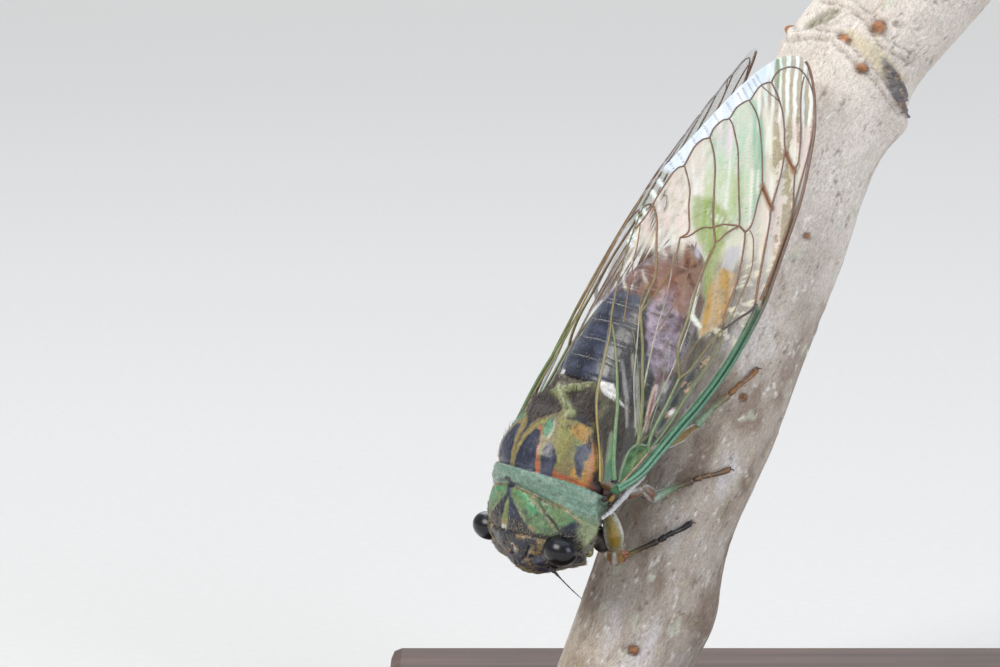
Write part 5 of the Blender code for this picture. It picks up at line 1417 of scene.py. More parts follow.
def forewingPaint(place, clearness):
    # clearness below 1 thins the pale outer part, which is painted reflection: one wing lies edge on and
    # the other catches light
    u, v, flat = place.T
    count = len(u)
    fold = v + 0.37 * u                     # the creases of the film run along lines of equal fold
    folded = np.stack([u, fold, flat], -1)
    wide = rough(folded, (3.0, 1.1, 1), 71)
    streak = rough(folded, (3.0, 0.30, 1), 73)
    thread = rough(folded, (1.3, 0.13, 1), 79)
    fleck = rough(place, (0.55, 0.35, 1), 75)
    costal = edgeCurve("costal", u)
    field = patch(u, v, ambient + ((20, -6.9), (14, -6.0), (6, -3.8), (0, -0.6), (0, 0.8), (10, 4.3),
                                   (20, 5.8), (30, 5.0), (36, 3.5)), 0.05)
    borderReflection = (1.0 - field) * ease(u, 26.6, 27.4)
    paint = coat("#c4c6bc", count)
    # painted reflection: faint pale streaks where the creased film catches the light
    cover = 0.022 + 0.04 * ease(streak, 0.2, 0.7) + 0.22 * ease(thread, 0.5, 0.7) * ease(streak, 0.0, 0.3)
    # painted reflection: the pale cream, pink and mint tints of the outer film, and its white streaks,
    # stand for reflected sky and thin-film colour
    outer = ease(u - 0.30 * v + 0.9 * wide, 20.6, 23.2) * field
    brush(paint, "#e9e0d4", outer)
    brush(paint, "#f3dcd6", outer * ease(wide, 0.0, 0.4))
    brush(paint, "#c9bfa8", outer * ease(-wide + 0.6 * fleck, 0.2, 0.6) * ease(v, 0.0, 1.5))
    paleMint = spot(u, v, (30.0, -1.9), (6.0, 2.0), -21, 0.9) * field
    brush(paint, "#b3d6ba", paleMint * (0.45 + 0.55 * ease(fleck + 0.5 * streak, -0.3, 0.3)))
    brush(paint, "#e9cfd2", outer * ease(wide - 0.4 * fleck, 0.15, 0.5) * bump(u, 33.0, 2.5) * 0.7)
    brush(paint, "#a9c6a8", paleMint * ease(-fleck - 0.4 * thread, 0.25, 0.55) * 0.55)
    mint = stroke(u, v, marks["mint"], 0.28)
    brush(paint, "#8cc2a4", mint * 0.9)
    brush(paint, "#bfcf92", spot(u, v, (27.3, -1.6), (2.4, 1.9), -21, 0.8) * field
        * ease(fleck - 0.3 * streak, -0.4, 0.3) * 0.7)
    brush(paint, "#e6cfdc", spot(u, v, (32.2, -3.4), (1.6, 0.7), -28, 0.5) * field
        * ease(streak, -0.5, 0.2))
    dull = ease(-v - 0.1 * u, 0.9, 2.0) * (1.0 - ease(u, 26.5, 29.0)) * outer
    brush(paint, "#b9b79a", dull * ease(streak + 0.6 * fleck, -0.2, 0.35) * 0.75)
    cover = cover + (0.72 - 0.10 * wide) * outer
    rightCells = ease(v + 0.37 * u, 12.6, 13.2) * outer
    upright = v + 0.39 * u + 0.30 * rough(place, (2.6, 1.6, 1), 87) + 0.05 * cloud(place, 0.5, 88)
    bars = np.cos(2.0 * np.pi * (upright - 15.65) / 0.72) + 0.35 * wide
    ragged = u + 0.9 * cloud(folded, (1.0, 0.3, 1), 90)
    tip = ease(ragged, 34.6, 37.0) * ease(v, -2.2, -1.6) * (1.0 - ease(v, 2.6, 3.2))
    brush(paint, "#f4f5ee", outer * ease(streak, 0.25, 0.5) * 0.85)
    brush(paint, "#98825f", rightCells * ease(-streak + 0.4 * fleck, 0.12, 0.42) * 0.9)
    cover = cover - 0.35 * rightCells * ease(-streak + 0.4 * fleck, 0.22, 0.5)
    diagonal = rough(np.stack([u + v, (v - 0.9 * u), flat], -1), (1.0, 0.35, 1), 89)
    # painted glints: bright cream flecks of reflected light across the middle of the wing
    glints = ease(fold, 16.3, 16.8) * ease(diagonal, 0.25, 0.45) * field
    glintMosaic = ease(v - 0.10 * u, 0.2, 0.6) * ease(u, 14.5, 16.5) * (1.0 - ease(u, 24.5, 26.0)) * field
    glintMosaic = glintMosaic * ease(diagonal + 0.4 * fleck, 0.05, 0.35)
    brush(paint, "#f6f3ea", glints * 0.9)
    brush(paint, "#ecdfc9", glintMosaic * 0.9)
    cover = np.maximum(cover, 0.75 * glintMosaic)
    threads = outer * ease(thread, 0.42, 0.62) * ease(fleck, -0.2, 0.2)
    brush(paint, "#6f7a62", threads * 0.6)
    lime = patch(u, v, marks["lime"], 0.35) * field
    limeTone = ease(fleck + 0.6 * streak, -0.2, 0.3)
    brush(paint, "#97b052", lime)
    brush(paint, "#7b9a2e", lime * limeTone * ease(u, 19.5, 22.5) * 0.9)
    cover = cover + 0.40 * lime * (1.0 - outer)
    blocks = spot(u, v, (25.0, -1.0), (0.35, 1.3), 10, 0.15) * ease(np.sin(v * 14.0 + fleck), -0.2, 0.2)
    brush(paint, "#eef0dc", blocks * 0.8)
    rufous = patch(u, v, marks["rufous"], 0.30)
    brush(paint, "#8f5636", rufous)
    cover = cover * (1.0 - 0.9 * rufous) + 0.32 * rufous * ease(wide + fleck, -0.3, 0.5)
    blueSpot = spot(u, v, (21.5, -1.55), (0.5, 0.26), -35, 0.12)
    tint(paint, cover, "#a3a7c4", blueSpot, 0.7)
    lilac = patch(u, v, marks["lilac"], 0.15)
    brush(paint, "#cfccd8", lilac)
    cover = cover + 0.45 * lilac * (1.0 - outer)
    amber = patch(u, v, marks["amber"], 0.22) * ease(thread + 0.4 * wide, -0.9, 0.0)
    brush(paint, "#cc9a56", amber)
    brush(paint, "#9a6a3a", amber * ease(fleck + 0.4 * thread, 0.0, 0.5) * 0.8)
    cover = np.maximum(cover, 0.72 * amber)
    white = stroke(u, v, marks["white"], 0.10) * ease(fleck, -0.8, -0.2)
    tint(paint, cover, "#f2f4ee", white, 0.9)
    for centre, radii in marks["windows"]:
        gap = spot(u, v, centre, radii, -20, 0.16)
        cover = cover * (1.0 - 0.85 * gap)
        rim = (bump(spot(u, v, centre, (radii[0] + 0.25, radii[1] + 0.16), -20, 0.2), 0.5, 0.3)
               * ease(streak, -0.3, 0.2))
        brush(paint, "#efe6de", rim * 0.8)
        cover = np.maximum(cover, 0.55 * rim * (1.0 - gap))
    for path in marks["smoke"]:
        smoke = stroke(u, v, path, 0.20) * ease(fleck, -1.2, -0.2)
        tint(paint, cover, "#96592a", smoke, 0.85)
    band = ease(v - costal + 0.95, 0.0, 0.10) * (1.0 - ease(u, 19.6, 20.4))
    brush(paint, wingGreen, band)
    cover = cover + 0.85 * band
    stigma = ease(v - costal + 0.62, 0.0, 0.10) * ease(u, 19.8, 20.4) * (1.0 - ease(u, 27.5, 32.0))
    brush(paint, "#6b4a34", stigma)
    cover = cover + 0.6 * stigma
    lilacLine = stroke(u, v, marks["lilacLine"], 0.05)
    tint(paint, cover, "#c3b2cf", lilacLine, 0.9)
    cell = patch(u, v, marks["cell"], 0.08)
    brush(paint, "#57805c", cell)
    brush(paint, "#34503f", cell * ease(-fleck, 0.0, 0.4))
    brush(paint, "#8aa870", cell * ease(fleck, 0.3, 0.6) * 0.7)
    cover = np.maximum(cover, 0.85 * cell)
    clavus = stroke(u, v, marks["clavus"], 0.25)
    brush(paint, "#5f9a80", clavus)
    yellow = stroke(u, v, marks["yellow"], 0.12)
    brush(paint, "#b9983c", yellow)
    cover = np.maximum(cover, 0.45 * np.maximum(clavus, yellow))
    lane = stroke(u, v, marks["lane"], 0.10)
    brush(paint, "#d6c0b6", lane)
    cover = np.maximum(cover, 0.62 * lane * ease(fleck, -0.9, 0.0))
    core = stroke(u, v, marks["core"], 0.07)
    tint(paint, cover, "#7c3840", core, 0.8)
    for path in marks["glare"]:
        glare = stroke(u, v, path, 0.12) * ease(streak + 0.4 * fleck, -0.5, 0.3)
        tint(paint, cover, "#aaa4ac", glare, 0.55)
    lace = stroke(u, v, marks["lace"], 0.12)
    crumb = rough(place, (0.34, 0.26, 1), 82)
    brush(paint, "#3d3f50", lace)
    brush(paint, "#6d6a72", lace * ease(fleck, 0.0, 0.5))
    brush(paint, "#c4a28a", lace * ease(crumb + 0.5 * np.sin(u * 2.4 + 1.0), 0.25, 0.55))
    cover = np.maximum(cover, 0.72 * lace * ease(crumb + 0.4 * fleck, -0.9, -0.3))
    dot = spot(u, v, (8.3, 2.05), (0.34, 0.20), 20, 0.08)
    tint(paint, cover, "#f4f2ee", dot, 0.9)
    hem = (1.0 - ease(v - edgeCurve("inner", u), 0.06, 0.13)) * (1.0 - ease(u, 9.0, 14.0))
    tint(paint, cover, "#221a14", hem, 0.85)
    hinge = patch(u, v, marks["hinge"], 0.15)
    tint(paint, cover, "#4a2318", hinge, 0.9)
    # painted reflection: the outer border beyond the ambient vein is pale blue-white with reflected sky
    brush(paint, "#e2eaf6", borderReflection)
    brush(paint, "#f6f9fc", borderReflection * ease(streak, 0.1, 0.5))
    brush(paint, "#c9ead8", borderReflection * ease(wide, 0.0, 0.4) * ease(u, 34.0, 37.0) * 0.8)
    cover = np.maximum(cover, 0.95 * borderReflection)
    for at, low in marks["creases"]:
        crease = (stroke(u, v, ((at + 0.15, low - 0.15, 0.045), (at - 0.65, low + 0.75, 0.02)), 0.05)
                  * borderReflection)
        brush(paint, "#5c6c68", crease * 0.85)
    for at, low in marks["fragments"]:
        flake = patch(u, v, ((at + 0.35, low - 0.2), (at - 0.1, low - 0.25), (at - 0.55, low + 0.45),
            (at - 0.15, low + 0.5)), 0.05)
        tint(paint, cover, "#e6eff2", flake, 0.9)
    brush(paint, "#f4f6f2", tip * ease(bars, -0.15, 0.35))
    brush(paint, "#9a8f78", tip * ease(-bars, -0.05, 0.45) * 0.85)
    brush(paint, "#cfe8da", tip * ease(bars, 0.5, 0.9) * (1.0 - ease(v, -1.4, -0.6)) * 0.8)
    cover = cover + (np.clip(0.62 + 0.32 * bars, 0.40, 0.95) - cover) * tip
    green = stroke(u, v, marks["green"], 0.08)
    brush(paint, "#5f8460", green * 0.85)
    beyond = ease(u, 17.0, 22.0)
    cover = cover * (1.0 - (1.0 - clearness) * beyond)
    return paint, np.clip(cover, 0.015, 0.97)


def forewingSag(u, v):
    reach = veinReach(u, v, veins)
    place = np.stack([u, v, 0 * u], -1)
    return ((0.10 * np.exp(-(reach / 0.35) ** 2) - 0.08 + 0.035 * rough(place, (1.8, 0.35, 1), 81))
            * ease(u, 0.0, 2.0))


def membraneFinish(name, clearness):
    # clear cuticle like stiff cellophane: thin film colours on a crinkled gloss, tinted where painted
    material, tree, shader = newMaterial(name)
    place = addNode(tree, "ShaderNodeAttribute", {"attribute_name": "place"})
    paint = addNode(tree, "ShaderNodeAttribute", {"attribute_name": "paint"})
    cover = addNode(tree, "ShaderNodeAttribute", {"attribute_name": "cover"})
    stretch = addNode(tree, "ShaderNodeMapping", {}, {"Vector": place.outputs["Vector"],
        "Scale": (0.5, 2.4, 1.0)})
    crinkle = addNode(tree, "ShaderNodeTexNoise", {}, {"Vector": stretch, "Scale": 1.1, "Detail": 5.0})
    fine = addNode(tree, "ShaderNodeTexNoise", {}, {"Vector": place.outputs["Vector"], "Scale": 9.0,
        "Detail": 3.0})
    height = addNode(tree, "ShaderNodeMath", {"operation": "MULTIPLY_ADD"}, {
        0: fine, 1: 0.15, 2: crinkle})
    relief = addNode(tree, "ShaderNodeBump", {}, {
        "Height": height, "Strength": 0.5, "Distance": 0.12 * mm})
    alpha = addNode(tree, "ShaderNodeMath", {"operation": "MULTIPLY"},
        {0: cover.outputs["Fac"], 1: clearness})
    shade = addNode(tree, "ShaderNodeMapRange", {}, {
        "Value": fine, "From Min": 0.3, "From Max": 0.7, "To Min": 0.88, "To Max": 1.10})
    colour = addNode(tree, "ShaderNodeVectorMath", {"operation": "SCALE"}, {0: paint, "Scale": shade})
    connect(tree, shader, {"Base Color": colour, "Alpha": alpha, "Normal": relief, "Roughness": 0.22,
        "IOR": 1.56, "Thin Film Thickness": 420.0, "Thin Film IOR": 1.40})
    return material


def veinFinish():
    # sclerotised veins: smooth glossy tubes, paler where fresh and browner where hardened
    material, tree, shader = newMaterial("wing vein")
    paint = addNode(tree, "ShaderNodeAttribute", {"attribute_name": "paint"})
    place = insectPlace(tree)
    fleck = addNode(tree, "ShaderNodeTexNoise", {}, {"Vector": place, "Scale": 3.5, "Detail": 4.0})
    shade = addNode(tree, "ShaderNodeMapRange", {}, {
        "Value": fleck, "From Min": 0.3, "From Max": 0.7, "To Min": 0.75, "To Max": 1.25})
    colour = addNode(tree, "ShaderNodeVectorMath", {"operation": "SCALE"}, {0: paint, "Scale": shade})
    connect(tree, shader, {"Base Color": colour, "Roughness": 0.32, "IOR": 1.56, "Coat Weight": 0.3})
    return material


def veinTree():
    # mesh chains with a girth attribute become round tubes
    tree = bpy.data.node_groups.new("veins", "GeometryNodeTree")
    for name, kind in (("Geometry", "NodeSocketGeometry"), ("Sides", "NodeSocketInt"),
                       ("Thickness", "NodeSocketFloat"), ("Finish", "NodeSocketMaterial")):
        tree.interface.new_socket(name=name, in_out="INPUT", socket_type=kind)
    tree.interface.new_socket(name="Geometry", in_out="OUTPUT", socket_type="NodeSocketGeometry")
    entry = addNode(tree, "NodeGroupInput")
    girth = addNode(tree, "GeometryNodeInputNamedAttribute", {"data_type": "FLOAT"}, {"Name": "girth"})
    size = addNode(tree, "ShaderNodeMath", {"operation": "MULTIPLY"}, {
        0: girth, 1: entry.outputs["Thickness"]})
    curve = addNode(tree, "GeometryNodeMeshToCurve", {}, {"Mesh": entry.outputs["Geometry"]})
    ring = addNode(tree, "GeometryNodeCurvePrimitiveCircle", {}, {
        "Resolution": entry.outputs["Sides"], "Radius": mm})
    tube = addNode(tree, "GeometryNodeCurveToMesh", {}, {
        "Curve": curve, "Profile Curve": ring,
        "Scale": size, "Fill Caps": True})
    real = addNode(tree, "GeometryNodeRealizeInstances", {}, {"Geometry": tube})
    finish = addNode(tree, "GeometryNodeSetMaterial", {}, {
        "Geometry": real, "Material": entry.outputs["Finish"]})
    addNode(tree, "NodeGroupOutput", {}, {"Geometry": finish})
    return tree


def grownMesh(mesh, tree, values):
    # the mesh that a Geometry Nodes tree makes of another, with the tree's named inputs set
    holder = bpy.data.objects.new("grower", mesh)
    bpy.context.scene.collection.objects.link(holder)
    modifier = holder.modifiers.new("grow", "NODES")
    modifier.node_group = tree
    for item in tree.interface.items_tree:
        if item.in_out == "INPUT" and item.name in values:
            modifier[item.identifier] = values[item.name]
    graph = bpy.context.evaluated_depsgraph_get()
    grown = bpy.data.meshes.new_from_object(holder.evaluated_get(graph))
    holder.modifiers.remove(modifier)
    bpy.data.objects.remove(holder)
    return grown


def makeVeins(name, network, drop, side, tree, finish):
    points, edges, girths, paints = [], [], [], []
    for tone, thick, thin, path in network.values():
        line = smoothPath(path, 0.22)
        share = np.linspace(0.0, 1.0, len(line))
        u, v = line.T
        sag = 0.02 if drop == 0.0 else 0.0
        places = wingSurface(u, v, np.full(len(u), sag - drop), side)
        table = np.array([linearColour(code) for code in veinTones[tone]])
        knots = np.array((0.0, 9.0, 17.0, 21.5, 28.0, 41.5))
        wander = u + 0.8 * cloud(places, 1.5, 5)
        start = len(points)
        points.extend(toWorld(places))
        edges.extend((start + k, start + k + 1) for k in range(len(u) - 1))
        girths.extend(thick + (thin - thick) * share)
        paints.extend(np.stack([np.interp(wander, knots, table[:, k]) for k in range(3)], -1))
    mesh = bpy.data.meshes.new(name + "_paths")
    mesh.from_pydata([tuple(p) for p in points], edges, [])
    mesh.attributes.new("girth", "FLOAT", "POINT").data.foreach_set("value", girths)
    colours = np.hstack([np.array(paints), np.ones((len(paints), 1))])
    mesh.attributes.new("paint", "FLOAT_COLOR", "POINT").data.foreach_set("color", colours.ravel())
    grown = grownMesh(mesh, tree, {"Sides": 9, "Thickness": 1.0, "Finish": finish})
    return addObject(name, grown, finish)


def makeHinges():
    # the small dark plates a forewing turns on, a yellow one below them and a waxy ridge under the wing
    for label, side in sides.items():
        mirror = np.array((1.0, side, 1.0))
        plates = (((2.85, 6.02, 0.80), (0.80, 0.30, 0.42), ("#2a1513", "#5a1f18", "#1c1214")),
                  ((2.35, 5.95, 0.10), (0.45, 0.28, 0.36), ("#4a2a20", "#2a1a18")),
                  ((3.45, 6.00, -0.05), (0.42, 0.24, 0.24), ("#8a6a2c", "#c0983c")),
                  ((3.75, 5.85, 0.55), (0.36, 0.22, 0.40), ("#1c1518", "#3a2220")))
        bodies = []
        for centre, radii, rows in plates:
            body = ellipsoidBody(np.array(centre) * mirror, radii, 20, 30)
            body["points"] = shaken(body["points"], 0.05, 0.3, 91)
            bodies.append(painted(body, rows, 0.95, 0.3, 97))
        ridge = np.array(((0.2, 5.5, -2.85), (1.2, 5.62, -2.3), (2.2, 5.7, -1.72), (3.7, 5.75, -1.15),
            (4.6, 5.78, -0.75), (5.4, 5.72, -0.30))) * mirror
        body = painted(tubeBody(ridge, (0.06, 0.13, 0.18, 0.26, 0.22, 0.24, 0.10), 24, spacing=0.06),
                       ("#b9b8b4", "#e2e2e0", "#dcdcda"), 0.15, 0.12)
        body["points"] = shaken(body["points"], 0.05, 0.22, 94)
        bodies.append(body)
        addPiece("wing_hinge_" + label.lower(), joined(bodies), legChitin)


def makeWings():
    clear = membraneFinish("forewing membrane", 0.85)
    hindClear = membraneFinish("hindwing membrane", 0.7)
    finish = veinFinish()
    tree = veinTree()
    u = 41.5 * (1.0 - (1.0 - np.linspace(0.0, 1.0, 300)) ** 1.7)
    hindU = 4.8 + 22.4 * np.linspace(0.0, 1.0, 120)
    front = smoothPath(wing["hindFront"], 0.2)
    rear = smoothPath(wing["hindRear"], 0.2)
    for label, side in sides.items():
        label = label.lower()
        body = wingSheet(u, edgeCurve("inner", u), edgeCurve("costal", u), 90, forewingSag, 0.0, side)
        body["paint"], body["cover"] = forewingPaint(body["place"], 1.0 if side > 0 else 0.45)
        addPiece("forewing_membrane_" + label, body, clear, ("forewing_" + label,))
        makeVeins("forewing_veins_" + label, veins, 0.0, side, tree, finish)
        low, high = np.interp(hindU, rear[:, 0], rear[:, 1]), np.interp(hindU, front[:, 0], front[:, 1])
        dip = lambda a, b: 0.05 * rough(np.stack([a, b, 0 * a], -1), (1.5, 0.4, 1), 83)
        body = wingSheet(hindU, low, high, 50, dip, wing["hindDrop"], side)
        # painted reflection: pale streaks where the creased hindwing film catches the light
        streak = rough(body["place"], (2.2, 0.4, 1), 85)
        body["paint"] = brush(coat("#bfc2b4", len(streak)), "#eceae4", ease(streak, 0.0, 0.6))
        body["cover"] = np.clip(0.015 + 0.18 * ease(streak, 0.40, 0.65), 0.015, 0.4)
        addPiece("hindwing_membrane_" + label, body, hindClear, ("hindwing_" + label,))
        makeVeins("hindwing_veins_" + label, hindVeins, wing["hindDrop"], side, tree, finish)


makeHinges()
makeWings()
print("wings made")


# The branch

bark = {
    "rows": 354, "columns": 250, "capRings": 22, "growthRings": 46.0,
    "band": ((-41.4, -3.0, 0.5), (-41.2, -6.0, 0.9), (-40.6, -8.8, 1.0)),
    "crust": ((-41.4, -6.4, 0.2), (-40.5, -8.2, 0.9), (-39.4, -10.2, 1.2), (-38.6, -11.6, 0.7)),
}


def branchPlace(along, degrees, reach):
    # along and degrees as arrays; beyond the node the branch bends
    down, out, side = perchAxes()
    bend, toward = math.radians(perch["bend"]), math.radians(perch["bendToward"])
    turn = bend * np.clip((perch["node"] - along + perch["nodeReach"]) / (2 * perch["nodeReach"]), 0, 1)
    past = np.maximum(perch["node"] - along, 0.0)
    lean = math.cos(toward) * out + math.sin(toward) * side
    knot = -out * perch["depth"] + down * perch["node"]
    centre = np.where((past > 0)[..., None],
                      knot + past[..., None] * (-down * math.cos(bend) + lean * math.sin(bend)),
                      -out * perch["depth"] + down * along[..., None])
    facing = down * np.cos(turn)[..., None] - lean * np.sin(turn)[..., None]
    first = unit(out - facing * (facing @ out)[..., None])
    second = np.cross(facing, first)
    angle = np.radians(degrees)
    return (centre
            + (first * np.cos(angle)[..., None] + second * np.sin(angle)[..., None]) * reach[..., None])


def barkReach(along, degrees):
    turn = degrees % 360.0
    reach = perch["radius"] + sum(
        height * np.exp(-((along - place) / size) ** 2
                        - (((turn - bearing + 180) % 360 - 180) / perch["swellingTurn"]) ** 2)
        for place, bearing, height, size in perch["swellings"])
    reach = reach + perch["nodeSwelling"] * np.exp(-((along - perch["node"]) / perch["nodeReach"]) ** 2)
    past = np.clip((perch["node"] - along) / perch["upperReach"], 0.0, 1.0)
    return reach + perch["upperSwelling"] * past


def roundPlace(along, degrees):
    # noise that meets itself right round the branch: x runs along it, y and z round it
    angle = np.radians(degrees)
    return np.stack([along, perch["radius"] * np.cos(angle), perch["radius"] * np.sin(angle)], -1)


def pores(seed, count):
    # breathing pores and bud scars: place along, bearing, length, width
    chance = np.random.default_rng(seed)
    return [(chance.uniform(-50, 20), chance.uniform(0, 360), chance.uniform(0.35, 0.9),
        chance.uniform(0.3, 0.6)) for _ in range(count)]


scars = [                                   # buds: place along, bearing, length, width, height
    (-40.9, -30.0, 0.55, 0.30, 0.20), (-43.4, -46.0, 0.55, 0.62, 0.55), (-39.5, -58.0, 0.48, 0.45, 0.45),
    (-40.2, 47.0, 0.45, 0.40, 0.45), (-46.5, -20.0, 0.40, 0.40, 0.25), (14.5, -48.0, 0.50, 0.40, 0.35),
    (-9.0, -62.0, 0.30, 0.30, 0.25), (-24.0, -66.0, 0.28, 0.28, 0.22), (6.0, 120.0, 0.5, 0.4, 0.3),
    (-20.0, 160.0, 0.4, 0.4, 0.3), (-33.0, 95.0, 0.4, 0.4, 0.3), (-2.0, 60.0, 0.35, 0.3, 0.2)]
eyeScar = ((-41.4, 0.2), (2.0, 0.78),
    43.0)      # healed cut at the node: along and across in mm, half sizes, turn
lips = (                                    # ridges of the node: along, across in mm
    ((-40.1, 3.9), (-39.4, 1.8), (-40.6, -2.1), (-39.9, -5.0), (-39.4, -7.4), (-38.0, -10.6)),
    ((-42.9, 1.6), (-43.6, -1.2), (-43.4, -3.6), (-42.6, -5.5), (-43.3, -8.4)))


def turnDistance(degrees, bearing):
    return ((degrees - bearing + 180.0) % 360.0 - 180.0) * math.radians(1.0) * perch["radius"]


def barkForm(along, degrees):
    # relief in mm and the paint masks of the bark
    place = roundPlace(along, degrees)
    grain = rough(place, (1.1, 0.42, 0.42), 91, 4)
    lumps = rough(place, (4.5, 2.2, 2.2), 93)
    cracks = rough(place, (1.3, 0.24, 0.24), 95)
    relief = 0.05 * grain + 0.14 * lumps - 0.04 * ease(-cracks, 0.45, 0.7)
    warm = np.zeros(np.shape(along))
    pale = np.zeros(np.shape(along))
    for at, bearing, length, width in pores(7, 60):
        turn = turnDistance(degrees, bearing)
        reach = np.hypot((along - at) / (0.6 * width), turn / (0.7 * length))
        relief = (relief + 0.08 * np.exp(-reach ** 2)
                  - 0.09 * np.exp(-((along - at) / 0.07) ** 2 - (turn / (0.6 * length)) ** 4))
        pale = np.maximum(pale, np.exp(-(reach / 0.9) ** 4) * 0.6)
    for at, bearing, length, width, height in scars:
        turn = turnDistance(degrees, bearing)
        reach = np.hypot((along - at) / width, turn / length)
        relief = relief + 1.3 * height * np.exp(-(reach / 0.85) ** 3) - 0.18 * bump(reach, 1.25, 0.25)
        warm = np.maximum(warm, np.exp(-(reach / 1.05) ** 4))
    across = turnDistance(degrees, 0.0)
    (at, level), (length, width), lean = eyeScar
    c, s = math.cos(math.radians(lean)), math.sin(math.radians(lean))
    reach = np.hypot((c * (along - at) + s * (across - level)) / length,
                     (c * (across - level) - s * (along - at)) / width)
    eye = 1.0 - ease(reach, 0.55, 0.95)
    relief = relief - 0.30 * eye + 0.16 * bump(reach, 1.10, 0.14) - 0.12 * bump(reach, 1.42, 0.10)
    seam = np.zeros(np.shape(along))
    for path in lips:
        distance = lineDistance(along, across + 0.15 * lumps, path)[0]
        relief = relief + 0.20 * bump(distance, 0.0, 0.30) - 0.16 * bump(distance, 0.42, 0.12)
        seam = np.maximum(seam, bump(distance, 0.42, 0.10))
    band = stroke(along, across, bark["band"], 0.4)
    crumbs = rough(place, (0.40, 0.45, 0.45), 97, 4)
    crust = stroke(along, across, bark["crust"], 0.3)
    crust = crust * ease(crumbs, -0.55, -0.05)
    relief = relief + crust * (0.25 + 0.5 * np.clip(crumbs, -0.4, 0.6)) + band * 0.20 * crumbs
    pale = np.maximum(pale, band)
    return relief, warm, pale, eye, crust, seam, grain, cracks


def barkPaint(along, degrees, warm, pale, eye, crust, seam, grain, cracks):
    place = roundPlace(along, degrees)
    count = len(along)
    tone = rough(place, (5.5, 2.6, 2.6), 101)
    cloudy = rough(place, (1.6, 1.0, 1.0), 104)
    speck = rough(place, (0.30, 0.22, 0.22), 103)
    flake = rough(place, (0.8, 0.4, 0.4), 105)
    paint = coat("#bdb0a2", count)
    brush(paint, "#8f7c6c", ease(tone + 0.4 * cloudy, 0.0, 0.6) * 0.85)
    brush(paint, "#d9d2d0", ease(-tone + 0.5 * cloudy, 0.05, 0.6) * 0.85)
    # painted light: the bark turns paler toward the upper end of the branch, which is lit more
    brush(paint, "#f2e9df", ease(-along + 3.0 * cloudy, 8.0, 30.0) * 0.55)
    brush(paint, "#b9b48e", ease(cloudy - 0.3 * tone, 0.30, 0.65) * 0.35)
    brush(paint, "#efeae3", ease(flake + 0.6 * speck, 0.40, 0.80) * 0.8)
    brush(paint, "#6c5e54", ease(-grain - 0.8 * speck, 0.40, 0.90) * 0.7)
    brush(paint, "#6a5a4c", ease(-cracks - 0.2 * speck, 0.55, 0.85) * 0.40)
    brush(paint, "#b08f74", ease(rough(place, (2.6, 1.3, 1.3), 107), 0.35, 0.7) * 0.30)
    lichen = ease(rough(place, (1.8, 1.5, 1.5), 109), 0.45, 0.6)
    brush(paint, "#cdd0ba", lichen * 0.6)
    brush(paint, "#cdbfa0", pale * 0.8)
    brush(paint, "#8d8a70", eye * ease(grain + speck, -0.9, 0.0) * 0.85)
    brush(paint, "#5f5a48", eye * ease(-speck - 0.5 * flake, 0.0, 0.4) * 0.8)
    brush(paint, "#776a5c", seam * ease(speck, -0.6, 0.2) * 0.6)
    brush(paint, "#5b5660", crust * 0.85)
    brush(paint, "#8a6a4e", crust * ease(flake, 0.1, 0.4) * 0.7)
    brush(paint, "#8fa898", crust * ease(speck, 0.3, 0.6) * 0.5)
    brush(paint, "#b8733a", warm * 0.9)
    brush(paint, "#7a4a28", warm * ease(-speck, 0.0, 0.4) * 0.5)
    # painted shade: a dark brown ring round the edge of each bud
    brush(paint, "#4e3524", np.clip(4.0 * warm * (1.0 - warm), 0.0, 1.0) * ease(flake, -0.5, 0.2) * 0.8)
    return paint


